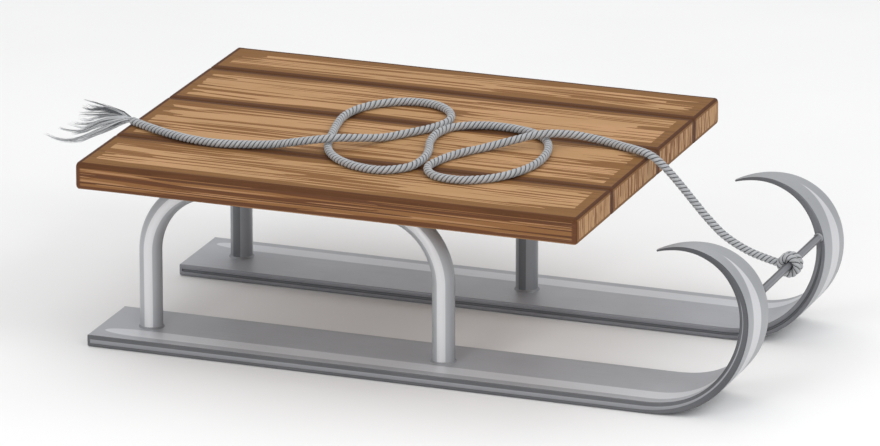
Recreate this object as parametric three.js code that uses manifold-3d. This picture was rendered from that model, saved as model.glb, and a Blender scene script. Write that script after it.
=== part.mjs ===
// Runner sledge with a plank deck: four boards on steel cross straps, two bent-tube
// supports, two curled metal runners, a tow bar between the curls and a laid tow rope.
//
// Millimetres. +X runs forward (towards the curls), +Y to the sledge's left, +Z up.
// The origin is on the ground, under the middle of the rigid sledge (rope not counted).
// Stations along the sledge are written as x measured from the deck's rear edge; the
// top group moves them to the origin by SHIFT_X.

import * as THREE from 'three';
import { mergeVertices } from 'three/addons/utils/BufferGeometryUtils.js';
import Module from 'manifold-3d';

const wasm = await Module();
wasm.setup();

// ---------------------------------------------------------------- dimensions
const GAP = 0.3;                     // gap kept between pieces that touch

// deck
const DECK_L = 570;                  // along X
const DECK_W = 470;                  // along Y
const DECK_T = 30;                   // board thickness
const DECK_Z = 195;                  // underside of the deck above the ground
const PLANK_GAP = 0.5;               // open seam between boards
const PLANK_WIDTHS = [110.75, 150.5, 121.5, 85.75];   // right to left
const PLANK_NAMES = ['plank_right_outer', 'plank_right_inner', 'plank_left_inner', 'plank_left_outer'];
const PLANK_EDGE = 3.5;              // rounding of the board edges

// cross straps under the deck
const STRAP_W = 30;
const STRAP_T = 2.5;
const STRAP_L = 410;
const STRAP_X = [45, 150, 277, 505];
const STRAP_NAMES = ['strap_rear', 'strap_mid_rear', 'strap_mid_front', 'strap_front'];
const STRAP_Z = DECK_Z - STRAP_T - 0.25;

// wood screws, driven up through the straps
const SCREW_Y = [-180, -92, -5, 58, 108, 193];
const SCREW_SHANK_R = 2.2;
const SCREW_HOLE_R = 2.6;
const SCREW_HEAD_R = 4.4;
const SCREW_HEAD_H = 2.4;
const SCREW_LEN = 22;                // from under the head to the tip

// support tubes
const GAUGE = 264;                   // runner centre to runner centre
const TUBE_R = 12.5;
const TUBE_WALL = 2;
const ARCH_X0 = 44;                  // rear leg
const ARCH_X1 = 383;                 // front leg
const ARCH_BEND = 79;                // bend radius at the tube's centre
const ARCH_TOP = 179.5;              // centre of the straight crown

// runners
const RUNNER_T = 14;                 // profile height
const RUNNER_HALF_W = 53;            // half the profile width
const RUNNER_X0 = -10;               // rear end
const CURL_X0 = 618;                 // where the sole leaves the ground
const CURL_LEN = 337.4;              // length of the sole line from there to the tip
// curvature of the sole line (1/mm) at equal fractions of CURL_LEN
const CURL_S = [0, 0.0625, 0.15625, 0.25, 0.375, 0.5, 0.625, 0.75, 0.875, 1];
const CURL_K = [0, 0.00561, 0.01008, 0.011, 0.00945, 0.01014, 0.01336, 0.01472, 0.01238, 0.00885];
// profile half width and height along the curl (distance from CURL_X0, value)
const CURL_HALF_W = [[0, 53], [20, 53], [45, 52], [72, 50], [92, 47.5], [117, 44.5], [148, 40], [177, 35.3],
  [202, 31.5], [227, 27.5], [250, 23], [274, 18], [294, 13], [315, 8], [337.4, 2.6]];
const CURL_T = [[0, 14], [40, 13.8], [90, 12.8], [150, 11.2], [177, 10.4], [235, 8.3], [294, 5.2], [320, 3.5], [337.4, 1.8]];

// tow bar between the curls
const BAR_R = 4.25;
const BAR_X = 729.4;
const BAR_Z = 121.5;

// tow rope
const ROPE_D = 9;
const ROPE_SIDES = 8;
const ROPE_STEPS = 80;
// the rope's centre line from the frayed end at the deck's rear edge, over the deck in two
// loops (it passes over itself twice), off the front edge and down to the knot on the bar
const ROPE_ROUTE = [
  [5.6, -86.1, 229.8], [33.1, -102.3, 229.8], [61.8, -116.2, 229.8], [92.0, -126.4, 229.8],
  [123.6, -129.2, 229.8], [154.7, -122.5, 229.8], [185.7, -115.4, 231.4], [216.8, -111.9, 237.3],
  [244.9, -98.0, 239.5], [265.4, -74.1, 234.9], [283.3, -48.2, 230.1], [302.0, -22.4, 229.8],
  [319.7, 4.1, 229.8], [327.2, 34.6, 229.8], [317.0, 64.4, 229.8], [293.3, 85.1, 229.8],
  [262.1, 87.1, 229.8], [235.7, 70.0, 229.8], [219.3, 42.8, 229.8], [214.3, 11.5, 229.8],
  [218.1, -20.1, 229.8], [225.0, -51.2, 229.8], [232.5, -82.2, 229.8], [243.8, -112.0, 229.8],
  [263.1, -137.2, 229.8], [289.6, -154.6, 229.8], [320.7, -159.5, 229.8], [344.7, -140.6, 229.8],
  [350.2, -109.4, 229.8], [345.5, -78.0, 229.8], [335.9, -47.6, 229.8], [331.8, -16.1, 229.8],
  [340.4, 14.2, 229.8], [366.5, 31.3, 229.8], [398.1, 33.0, 229.8], [428.4, 23.7, 229.8],
  [451.3, 1.9, 229.8], [463.8, -27.3, 229.8], [469.3, -58.6, 229.8], [467.9, -90.4, 229.8],
  [458.3, -120.7, 229.8], [441.0, -147.3, 229.8], [413.8, -162.9, 229.8], [382.8, -158.4, 229.8],
  [365.3, -133.3, 229.8], [368.8, -101.8, 229.8], [380.2, -72.1, 229.8], [398.1, -45.8, 230.1],
  [421.9, -25.2, 234.6], [448.0, -7.6, 239.5], [475.1, 9.0, 237.6], [504.2, 20.0, 231.7],
  [534.2, 11.8, 230.0], [556.5, -1.5, 231.3], [575.2, -7.9, 228.6], [591.8, -7.8, 215.9],
  [607.6, -6.3, 198.8], [622.2, -4.9, 181.7], [638.5, -3.7, 163.3], [658.0, -2.7, 145.7],
  [684.4, -1.2, 131.5], [714.8, 0.0, 122.6],
];
const KNOT_R_OUT = 13.8;             // knot ring round the bar
const KNOT_HALF_W = 9.5;
// frayed tassel behind the rope's end: centre line and radius
const TASSEL = [[5.0, -85.7, 229.8, 4.3], [-4.2, -80.4, 230.6, 5.4], [-18, -77.0, 232.0, 9], [-40, -74.0, 228.0, 15],
  [-64, -73.0, 218.5, 19], [-84, -75.5, 209.0, 15], [-99, -78.5, 203.0, 7]];

const SHIFT_X = -(RUNNER_X0 + 738.0) / 2;

// ---------------------------------------------------------------- materials
const finish = (colour, roughness, metalness) =>
  new THREE.MeshStandardMaterial({ color: colour, roughness, metalness });
const WOOD = () => finish(0xb18a69, 0.62, 0);
const RUNNER_METAL = () => finish(0x9a9ca0, 0.38, 1);
const TUBE_METAL = () => finish(0xb4b6b9, 0.32, 1);
const STEEL = () => finish(0x8c8d91, 0.45, 1);
const ZINC = () => finish(0xa9a9a4, 0.4, 1);
const WELD = () => finish(0x808388, 0.5, 1);
const ROPE = () => finish(0xa5a7aa, 0.85, 0);

// ---------------------------------------------------------------- helpers
const lerpTable = (table, s) => {
  for (let i = 1; i < table.length; i++) {
    if (s <= table[i][0]) {
      const [s0, v0] = table[i - 1];
      const [s1, v1] = table[i];
      return v0 + (v1 - v0) * (s - s0) / (s1 - s0);
    }
  }
  return table[table.length - 1][1];
};

// merged vertices, outward faces
const closed = (geometry) => {
  let g = geometry.clone();
  g.deleteAttribute('normal');
  g.deleteAttribute('uv');
  g = mergeVertices(g, 1e-4);
  const p = g.attributes.position;
  const src = g.index.array;
  const tri = [];
  let volume = 0;
  const a = new THREE.Vector3(), b = new THREE.Vector3(), c = new THREE.Vector3();
  for (let i = 0; i < src.length; i += 3) {
    const [i0, i1, i2] = [src[i], src[i + 1], src[i + 2]];
    if (i0 === i1 || i1 === i2 || i2 === i0) continue;
    a.fromBufferAttribute(p, i0); b.fromBufferAttribute(p, i1); c.fromBufferAttribute(p, i2);
    volume += a.dot(b.clone().cross(c));
    tri.push(i0, i1, i2);
  }
  if (volume < 0) for (let i = 0; i < tri.length; i += 3) [tri[i + 1], tri[i + 2]] = [tri[i + 2], tri[i + 1]];
  g.setIndex(tri);
  return g;
};

const toManifold = (geometry) => {
  const g = closed(geometry);
  return new wasm.Manifold(new wasm.Mesh({
    numProp: 3,
    vertProperties: new Float32Array(g.attributes.position.array),
    triVerts: new Uint32Array(g.index.array),
  }));
};

const fromManifold = (solid) => {
  const m = solid.getMesh();
  const g = new THREE.BufferGeometry();
  const n = m.vertProperties.length / m.numProp;
  const pos = new Float32Array(n * 3);
  for (let i = 0; i < n; i++) for (let k = 0; k < 3; k++) pos[i * 3 + k] = m.vertProperties[i * m.numProp + k];
  g.setAttribute('position', new THREE.BufferAttribute(pos, 3));
  g.setIndex(new THREE.BufferAttribute(new Uint32Array(m.triVerts), 1));
  return g;
};

// an upright cylinder or cone frustum between two heights
const upright = (rLow, rHigh, z0, z1, x, y, sides = 12) => {
  const g = new THREE.CylinderGeometry(rHigh, rLow, z1 - z0, sides, 1);
  g.rotateX(Math.PI / 2);
  g.translate(x, y, (z0 + z1) / 2);
  return g;
};

// a path through exact stations, so that a swept section is mitred at each of them
class StationPath extends THREE.Curve {
  constructor(points) { super(); this.points = points; }
  getPoint(t, target = new THREE.Vector3()) {
    const n = this.points.length - 1;
    const i = Math.min(Math.floor(t * n), n - 1);
    return target.copy(this.points[i]).lerp(this.points[i + 1], t * n - i);
  }
  getUtoTmapping(u) { return u; }
  getSpacedPoints(steps) {
    const out = [];
    for (let i = 0; i <= steps; i++) out.push(this.getPoint(i / steps));
    return out;
  }
}

// a closed body whose rings are given: a capped cylinder whose vertices are moved
const ringBody = (rings) => {
  const sides = rings[0].length;
  const g = new THREE.CylinderGeometry(1, 1, 1, sides, rings.length - 1);
  const p = g.attributes.position;
  for (let i = 0; i < p.count; i++) {
    const x = p.getX(i), y = p.getY(i), z = p.getZ(i);
    const row = Math.round((0.5 - y) * (rings.length - 1));
    const r = Math.hypot(x, z);
    if (r < 0.5) {
      const c = new THREE.Vector3();
      rings[row].forEach((v) => c.add(v));
      c.multiplyScalar(1 / sides);
      p.setXYZ(i, c.x, c.y, c.z);
    } else {
      let k = Math.round(Math.atan2(x, z) / (2 * Math.PI) * sides);
      k = ((k % sides) + sides) % sides;
      p.setXYZ(i, rings[row][k].x, rings[row][k].y, rings[row][k].z);
    }
  }
  return g;
};

const sledge = new THREE.Group();
sledge.name = 'sledge';
sledge.position.x = SHIFT_X;
const add = (name, geometry, material) => {
  const mesh = new THREE.Mesh(closed(geometry), material);
  mesh.name = name;
  sledge.add(mesh);
  return mesh;
};

// ---------------------------------------------------------------- deck boards
const plankSpans = [];
{
  let y = -DECK_W / 2;
  for (const w of PLANK_WIDTHS) {
    plankSpans.push([y, y + w]);
    y += w + PLANK_GAP;
  }
}

const roundedRect = (w, h, r, arc) => {
  const s = new THREE.Shape();
  const pts = [];
  const corner = (cx, cy, a0) => {
    for (let i = 0; i <= arc; i++) {
      const a = a0 + (Math.PI / 2) * i / arc;
      pts.push(new THREE.Vector2(cx + r * Math.cos(a), cy + r * Math.sin(a)));
    }
  };
  corner(w / 2 - r, h / 2 - r, 0);
  corner(-w / 2 + r, h / 2 - r, Math.PI / 2);
  corner(-w / 2 + r, -h / 2 + r, Math.PI);
  corner(w / 2 - r, -h / 2 + r, 1.5 * Math.PI);
  s.setFromPoints(pts);
  return s;
};

PLANK_NAMES.forEach((name, i) => {
  const [y0, y1] = plankSpans[i];
  const bevel = 2.5;
  const shape = roundedRect(y1 - y0 - 2 * bevel, DECK_T - 2 * bevel, PLANK_EDGE - bevel, 1);
  let g = new THREE.ExtrudeGeometry(shape, {
    depth: DECK_L - 2 * bevel, bevelEnabled: true, bevelThickness: bevel, bevelSize: bevel, bevelSegments: 2,
  });
  // section in Y-Z, length along X
  g.applyMatrix4(new THREE.Matrix4().makeBasis(
    new THREE.Vector3(0, 1, 0), new THREE.Vector3(0, 0, 1), new THREE.Vector3(1, 0, 0)));
  g.translate(bevel, (y0 + y1) / 2, DECK_Z + DECK_T / 2);
  let solid = toManifold(g);
  for (const sx of STRAP_X) {
    for (const sy of SCREW_Y) {
      if (sy > y0 && sy < y1) {
        solid = solid.subtract(toManifold(upright(SCREW_HOLE_R, SCREW_HOLE_R, DECK_Z - 1, STRAP_Z + SCREW_LEN + 0.5, sx, sy, 10)));
      }
    }
  }
  add(name, fromManifold(solid), WOOD());
});

// ---------------------------------------------------------------- cross straps
const CROWN_SCREW_X = [STRAP_X[1], STRAP_X[2]];
STRAP_NAMES.forEach((name, i) => {
  const sx = STRAP_X[i];
  const shape = roundedRect(STRAP_W, STRAP_L, 6, 3);
  const g = new THREE.ExtrudeGeometry(shape, { depth: STRAP_T, bevelEnabled: false });
  g.translate(sx, 0, STRAP_Z);
  let solid = toManifold(g);
  for (const sy of SCREW_Y) {
    solid = solid.subtract(toManifold(upright(SCREW_HOLE_R, SCREW_HOLE_R, STRAP_Z - 1, STRAP_Z + STRAP_T + 1, sx, sy, 12)));
  }
  if (CROWN_SCREW_X.includes(sx)) {
    for (const side of [-1, 1]) {
      const y = side * GAUGE / 2;
      solid = solid.subtract(toManifold(upright(2.7, 2.7, STRAP_Z - 1, STRAP_Z + 1.2, sx, y, 12)));
      solid = solid.subtract(toManifold(upright(2.7, 5.1, STRAP_Z + 0.4, STRAP_Z + STRAP_T + 0.1, sx, y, 12)));
    }
  }
  add(name, fromManifold(solid), STEEL());
});

// ---------------------------------------------------------------- wood screws
// pan head below the strap, tapering tip in the board
const screwProfile = () => {
  const z = STRAP_Z - 0.2;            // top of the head
  return [
    [0, z - SCREW_HEAD_H], [SCREW_HEAD_R * 0.62, z - SCREW_HEAD_H], [SCREW_HEAD_R * 0.92, z - SCREW_HEAD_H * 0.62],
    [SCREW_HEAD_R, z - 0.4], [SCREW_HEAD_R, z], [SCREW_SHANK_R, z],
    [SCREW_SHANK_R, z + SCREW_LEN - 4], [0, z + SCREW_LEN],
  ].map(([r, h]) => new THREE.Vector2(r, h));
};
STRAP_X.forEach((sx, i) => {
  SCREW_Y.forEach((sy, k) => {
    const g = new THREE.LatheGeometry(screwProfile(), 10);
    g.rotateX(Math.PI / 2);
    g.translate(sx, sy, 0);
    add(`wood_screw_${STRAP_NAMES[i].replace('strap_', '')}_${k + 1}`, g, ZINC());
  });
});

// ---------------------------------------------------------------- support tubes
const archStations = (y) => {
  const z0 = RUNNER_T + GAP;
  const zb = ARCH_TOP - ARCH_BEND;
  const pts = [new THREE.Vector3(ARCH_X0, y, z0)];
  const n = 9;
  for (let i = 0; i <= n; i++) {
    const a = Math.PI - (Math.PI / 2) * i / n;
    pts.push(new THREE.Vector3(ARCH_X0 + ARCH_BEND + ARCH_BEND * Math.cos(a), y, zb + ARCH_BEND * Math.sin(a)));
  }
  for (let i = 0; i <= n; i++) {
    const a = Math.PI / 2 - (Math.PI / 2) * i / n;
    pts.push(new THREE.Vector3(ARCH_X1 - ARCH_BEND + ARCH_BEND * Math.cos(a), y, zb + ARCH_BEND * Math.sin(a)));
  }
  pts.push(new THREE.Vector3(ARCH_X1, y, z0));
  return pts;
};

const circleShape = (r, sides, phase = 0) => {
  const pts = [];
  for (let i = 0; i < sides; i++) {
    const a = 2 * Math.PI * (i + phase) / sides;
    pts.push(new THREE.Vector2(r * Math.cos(a), r * Math.sin(a)));
  }
  return new THREE.Shape(pts);
};

for (const [name, side] of [['arch_tube_right', -1], ['arch_tube_left', 1]]) {
  const y = side * GAUGE / 2;
  const stations = archStations(y);
  const path = new StationPath(stations);
  const section = circleShape(TUBE_R, 20);
  section.holes.push(circleShape(TUBE_R - TUBE_WALL, 14));
  const g = new THREE.ExtrudeGeometry(section, { steps: stations.length - 1, extrudePath: path, bevelEnabled: false });
  let solid = toManifold(g);
  for (const sx of CROWN_SCREW_X) {
    solid = solid.subtract(toManifold(upright(2.5, 2.5, ARCH_TOP + 4, ARCH_TOP + TUBE_R + 2, sx, y, 10)));
  }
  add(name, fromManifold(solid), TUBE_METAL());

  // countersunk screws from the straps into the tube's crown
  CROWN_SCREW_X.forEach((sx, i) => {
    const top = STRAP_Z + STRAP_T - 0.15;
    const prof = [[0, top], [4.5, top], [2.2, top - 2.0], [2.2, top - 12], [0, top - 15]]
      .map(([r, h]) => new THREE.Vector2(r, h));
    const s = new THREE.LatheGeometry(prof, 12);
    s.rotateX(Math.PI / 2);
    s.translate(sx, y, 0);
    add(`crown_screw_${side < 0 ? 'right' : 'left'}_${i === 0 ? 'rear' : 'front'}`, s, ZINC());
  });

  // weld fillets round the feet
  for (const [foot, fx] of [['rear', ARCH_X0], ['front', ARCH_X1]]) {
    const r = TUBE_R + GAP;
    const z = RUNNER_T + GAP;
    const prof = [[r, z], [r + 3.2, z], [r + 2.4, z + 0.9], [r + 0.9, z + 2.2], [r, z + 3.2], [r, z]]
      .map(([a, h]) => new THREE.Vector2(a, h));
    const w = new THREE.LatheGeometry(prof, 20);
    w.rotateX(Math.PI / 2);
    w.translate(fx, y, 0);
    add(`foot_weld_${side < 0 ? 'right' : 'left'}_${foot}`, w, WELD());
  }
}

// ---------------------------------------------------------------- runners
// the sole line in X-Z, with the direction at each station
const curlLine = () => {
  const n = 1200;
  const out = [];
  let x = CURL_X0, z = 0, th = 0;
  const kAt = (s) => lerpTable(CURL_S.map((f, i) => [f * CURL_LEN, CURL_K[i]]), s);
  out.push({ s: 0, x, z, th });
  for (let i = 1; i <= n; i++) {
    const s0 = CURL_LEN * (i - 1) / n, s1 = CURL_LEN * i / n;
    const th1 = th + (kAt(s0) + kAt(s1)) / 2 * (s1 - s0);
    x += (Math.cos(th) + Math.cos(th1)) / 2 * (s1 - s0);
    z += (Math.sin(th) + Math.sin(th1)) / 2 * (s1 - s0);
    th = th1;
    out.push({ s: s1, x, z, th });
  }
  return out;
};
const CURL = curlLine();

// profile section: (across, height) as fractions of the half width and the height
const SECTION = [[-0.76, 0], [0.76, 0], [0.93, 0.1], [1, 0.32], [1, 0.86], [0.975, 1], [-0.975, 1], [-1, 0.86], [-1, 0.32], [-0.93, 0.1]];

for (const [name, side] of [['runner_right', -1], ['runner_left', 1]]) {
  const y = side * GAUGE / 2;
  const stations = [{ s: -1, x: RUNNER_X0, z: 0, th: 0 }, { s: -1, x: 160, z: 0, th: 0 }, { s: -1, x: 330, z: 0, th: 0 }, { s: -1, x: 480, z: 0, th: 0 }];
  const count = 34;
  for (let i = 0; i <= count; i++) stations.push(CURL[Math.round(1200 * i / count)]);
  const rings = stations.map((st) => {
    const hw = st.s < 0 ? RUNNER_HALF_W : lerpTable(CURL_HALF_W, st.s);
    const t = st.s < 0 ? RUNNER_T : lerpTable(CURL_T, st.s);
    const nx = -Math.sin(st.th), nz = Math.cos(st.th);
    return SECTION.map(([u, v]) => new THREE.Vector3(st.x + nx * v * t, y + u * hw, st.z + nz * v * t));
  });
  add(name, ringBody(rings), RUNNER_METAL());
}

// ---------------------------------------------------------------- tow bar
const barStation = CURL.reduce((best, st) => {
  const t = lerpTable(CURL_T, st.s);
  const d = Math.hypot(st.x - Math.sin(st.th) * t / 2 - BAR_X, st.z + Math.cos(st.th) * t / 2 - BAR_Z);
  return d < best.d ? { d, st } : best;
}, { d: 1e9, st: null }).st;
const BAR_HALF_L = GAUGE / 2 - lerpTable(CURL_HALF_W, barStation.s - BAR_R - 2) - GAP;
{
  const g = new THREE.CylinderGeometry(BAR_R, BAR_R, 2 * BAR_HALF_L, 20, 1);
  g.translate(BAR_X, 0, BAR_Z);
  add('tow_bar', g, STEEL());
  for (const [name, side] of [['bar_weld_right', -1], ['bar_weld_left', 1]]) {
    const r = BAR_R + GAP;
    const prof = [[r, 0], [r + 1.5, 0], [r + 1.2, 0.9], [r + 0.4, 2.2], [r, 3], [r, 0]].map(([a, h]) => new THREE.Vector2(a, h));
    const w = new THREE.LatheGeometry(prof, 18);
    if (side > 0) w.rotateX(Math.PI);
    w.translate(BAR_X, side * BAR_HALF_L, BAR_Z);
    add(name, w, WELD());
  }
}

// ---------------------------------------------------------------- tow rope
{
  // the knot is a round turn on the bar
  const r = BAR_R + GAP;
  const prof = [];
  const n = 8;
  prof.push([r, -KNOT_HALF_W + 3]);
  for (let i = 0; i <= n; i++) {
    const a = -Math.PI / 2 + Math.PI * i / n;
    prof.push([KNOT_R_OUT - 4.5 + 4.5 * Math.cos(a), Math.sin(a) >= 0 ? KNOT_HALF_W - 4.5 + 4.5 * Math.sin(a) : -KNOT_HALF_W + 4.5 + 4.5 * Math.sin(a)]);
  }
  prof.push([r, KNOT_HALF_W - 3]);
  prof.push([r, -KNOT_HALF_W + 3]);
  const knot = new THREE.LatheGeometry(prof.map(([a, h]) => new THREE.Vector2(a, h)), 20);
  knot.translate(BAR_X, 0, BAR_Z);
  add('tow_knot', knot, ROPE());

  const line = new THREE.CatmullRomCurve3(ROPE_ROUTE.map((p) => new THREE.Vector3(...p)), false, 'catmullrom', 0.5);
  line.arcLengthDivisions = 2000;
  const rope = new THREE.ExtrudeGeometry(circleShape(ROPE_D / 2, ROPE_SIDES, 0.5), { steps: ROPE_STEPS, extrudePath: line, bevelEnabled: false });
  add('tow_rope', rope, ROPE());

  // the frayed end
  const rings = TASSEL.map(([x, y, z, rad], i) => {
    const a = TASSEL[Math.max(i - 1, 0)], b = TASSEL[Math.min(i + 1, TASSEL.length - 1)];
    // the first ring faces the rope's end
    const dir = i === 0 ? new THREE.Vector3(...ROPE_ROUTE[0]).sub(new THREE.Vector3(...ROPE_ROUTE[1])).normalize()
      : new THREE.Vector3(b[0] - a[0], b[1] - a[1], b[2] - a[2]).normalize();
    const u = new THREE.Vector3(0, 0, 1).cross(dir).normalize();
    const v = dir.clone().cross(u);
    const ring = [];
    for (let k = 0; k < 12; k++) {
      const t = 2 * Math.PI * k / 12;
      ring.push(new THREE.Vector3(x, y, z).addScaledVector(u, rad * Math.cos(t)).addScaledVector(v, rad * Math.sin(t)));
    }
    return ring;
  });
  add('rope_tassel', ringBody(rings), ROPE());
}

export default sledge;
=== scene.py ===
import math
import random

import bpy
import numpy as np
from mathutils import Matrix, Vector


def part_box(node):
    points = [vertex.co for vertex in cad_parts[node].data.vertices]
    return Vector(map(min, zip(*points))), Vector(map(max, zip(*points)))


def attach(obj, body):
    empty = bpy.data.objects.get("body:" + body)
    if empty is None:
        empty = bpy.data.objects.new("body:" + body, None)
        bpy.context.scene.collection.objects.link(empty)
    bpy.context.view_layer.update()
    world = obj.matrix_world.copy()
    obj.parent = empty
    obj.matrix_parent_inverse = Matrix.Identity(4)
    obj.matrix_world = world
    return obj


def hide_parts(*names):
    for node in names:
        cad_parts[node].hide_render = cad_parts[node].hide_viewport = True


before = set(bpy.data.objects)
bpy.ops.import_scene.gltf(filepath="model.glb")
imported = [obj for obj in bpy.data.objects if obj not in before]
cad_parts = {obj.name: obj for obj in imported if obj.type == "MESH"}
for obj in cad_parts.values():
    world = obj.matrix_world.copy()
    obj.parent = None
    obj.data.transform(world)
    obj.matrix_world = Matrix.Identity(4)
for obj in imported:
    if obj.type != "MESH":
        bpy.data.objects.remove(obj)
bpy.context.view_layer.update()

SCENE = bpy.context.scene
SCENE.view_settings.view_transform = "Standard"
SCENE.view_settings.look = "None"

# ------------------------------------------------------------------ frame
# Working numbers are millimetres measured from the deck's rear edge, as in the CAD source.
SHIFT = -364.0


def row(p):
    """working millimetres -> row frame metres"""
    return (np.asarray(p, float) + [SHIFT, 0.0, 0.0]) * 0.001


# ------------------------------------------------------------------ camera
AZ, EL = math.radians(20.4146), math.radians(17.7224)
R_AX = Vector((math.cos(AZ), math.sin(AZ), 0.0))
B_AX = Vector((math.sin(AZ) * math.cos(EL), -math.cos(AZ) * math.cos(EL), math.sin(EL)))
U_AX = B_AX.cross(R_AX)
TARGET = Vector((-0.00775, 0.0, 0.09575)) - R_AX * 0.024875 + U_AX * 0.029127
cam_data = bpy.data.cameras.new("camera")
cam_data.lens = 317.45
cam_data.sensor_width = 36.0
cam_data.clip_start, cam_data.clip_end = 0.1, 200.0
cam = bpy.data.objects.new("camera", cam_data)
SCENE.collection.objects.link(cam)
cam.matrix_world = Matrix.Translation(TARGET + B_AX * 8.4375) @ Matrix((
    (R_AX.x, U_AX.x, B_AX.x, 0), (R_AX.y, U_AX.y, B_AX.y, 0), (R_AX.z, U_AX.z, B_AX.z, 0), (0, 0, 0, 1)))
SCENE.camera = cam


# ------------------------------------------------------------------ mesh helpers
def volume_sign(v, faces):
    total = 0.0
    for f in faces:
        a = v[f[0]]
        for i in range(1, len(f) - 1):
            total += float(np.dot(a, np.cross(v[f[i]], v[f[i + 1]])))
    return total


def grid_faces(n, m, wrap_i=False):
    i = np.arange(n if wrap_i else n - 1)[:, None]
    j = np.arange(m)[None, :]
    a = i * m + j
    b = i * m + (j + 1) % m
    c = ((i + 1) % n) * m + (j + 1) % m
    d = ((i + 1) % n) * m + j
    return np.stack([a, b, c, d], axis=-1).reshape(-1, 4)


def tube(rings, caps=True, wrap_i=False, cap_push=0.0):
    """rings (n, m, 3) -> verts, quads, tris; every ring is a closed loop, the two ends get fans"""
    n, m, _ = rings.shape
    v = rings.reshape(-1, 3)
    q = grid_faces(n, m, wrap_i)
    t = np.zeros((0, 3), int)
    if caps and not wrap_i:
        c0 = rings[0].mean(0)
        c1 = rings[-1].mean(0)
        if cap_push:
            c0 = c0 + (c0 - rings[1].mean(0)) / max(np.linalg.norm(c0 - rings[1].mean(0)), 1e-9) * cap_push
            c1 = c1 + (c1 - rings[-2].mean(0)) / max(np.linalg.norm(c1 - rings[-2].mean(0)), 1e-9) * cap_push
        k = len(v)
        v = np.vstack([v, c0[None], c1[None]])
        j = np.arange(m)
        t = np.vstack([
            np.stack([np.full(m, k), (j + 1) % m, j], 1),
            np.stack([np.full(m, k + 1), (n - 1) * m + j, (n - 1) * m + (j + 1) % m], 1)])
    return v, q, t


def signed_volume(v, q, t):
    s = 0.0
    for f in (q, t):
        for i in range(1, f.shape[1] - 1):
            s += np.einsum("ij,ij->i", v[f[:, 0]], np.cross(v[f[:, i]], v[f[:, i + 1]])).sum()
    return s


class Piece:
    """collects closed shells (with their point values) and makes one object of them"""

    def __init__(self):
        self.v, self.q, self.t, self.attrs, self.uv = [], [], [], {}, None
        self.n = 0
        self.uvq = []

    def add(self, v, q, t, **attrs):
        if signed_volume(v, q, t) < 0:
            q, t = q[:, ::-1], t[:, ::-1]
        self.v.append(v)
        self.q.append(q + self.n)
        self.t.append(t + self.n)
        for k, a in attrs.items():
            self.attrs.setdefault(k, []).append(np.broadcast_to(np.asarray(a, float), (len(v),)))
        self.n += len(v)
        return self

    def make(self, name, material, slot, replaces=(), sharp=40, smooth=True, body="root"):
        v = np.vstack(self.v)
        q = np.vstack(self.q)
        t = np.vstack(self.t)
        me = bpy.data.meshes.new(name)
        me.vertices.add(len(v))
        me.vertices.foreach_set("co", v.astype(np.float32).ravel())
        loops = np.concatenate([q.ravel(), t.ravel()]).astype(np.int32)
        me.loops.add(len(loops))
        me.loops.foreach_set("vertex_index", loops)
        me.polygons.add(len(q) + len(t))
        starts = np.concatenate([np.arange(len(q)) * 4, len(q) * 4 + np.arange(len(t)) * 3]).astype(np.int32)
        me.polygons.foreach_set("loop_start", starts)
        me.update(calc_edges=True)
        me.validate()
        me.polygons.foreach_set("use_smooth", np.full(len(me.polygons), smooth))
        for k, parts in self.attrs.items():
            a = me.attributes.new(k, "FLOAT", "POINT")
            a.data.foreach_set("value", np.concatenate(parts).astype(np.float32))
        if smooth and sharp is not None:
            me.set_sharp_from_angle(angle=math.radians(sharp))
        me.materials.append(material)
        o = bpy.data.objects.new(name, me)
        SCENE.collection.objects.link(o)
        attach(o, body)
        if replaces:
            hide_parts(*replaces)
        return o


# ------------------------------------------------------------------ material helpers
def lin(h, a=1.0):
    """sRGB hex -> linear colour"""
    out = []
    for i in (0, 2, 4):
        c = int(h[i:i + 2], 16) / 255.0
        out.append(c / 12.92 if c <= 0.04045 else ((c + 0.055) / 1.055) ** 2.4)
    return (*out, a)


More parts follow.
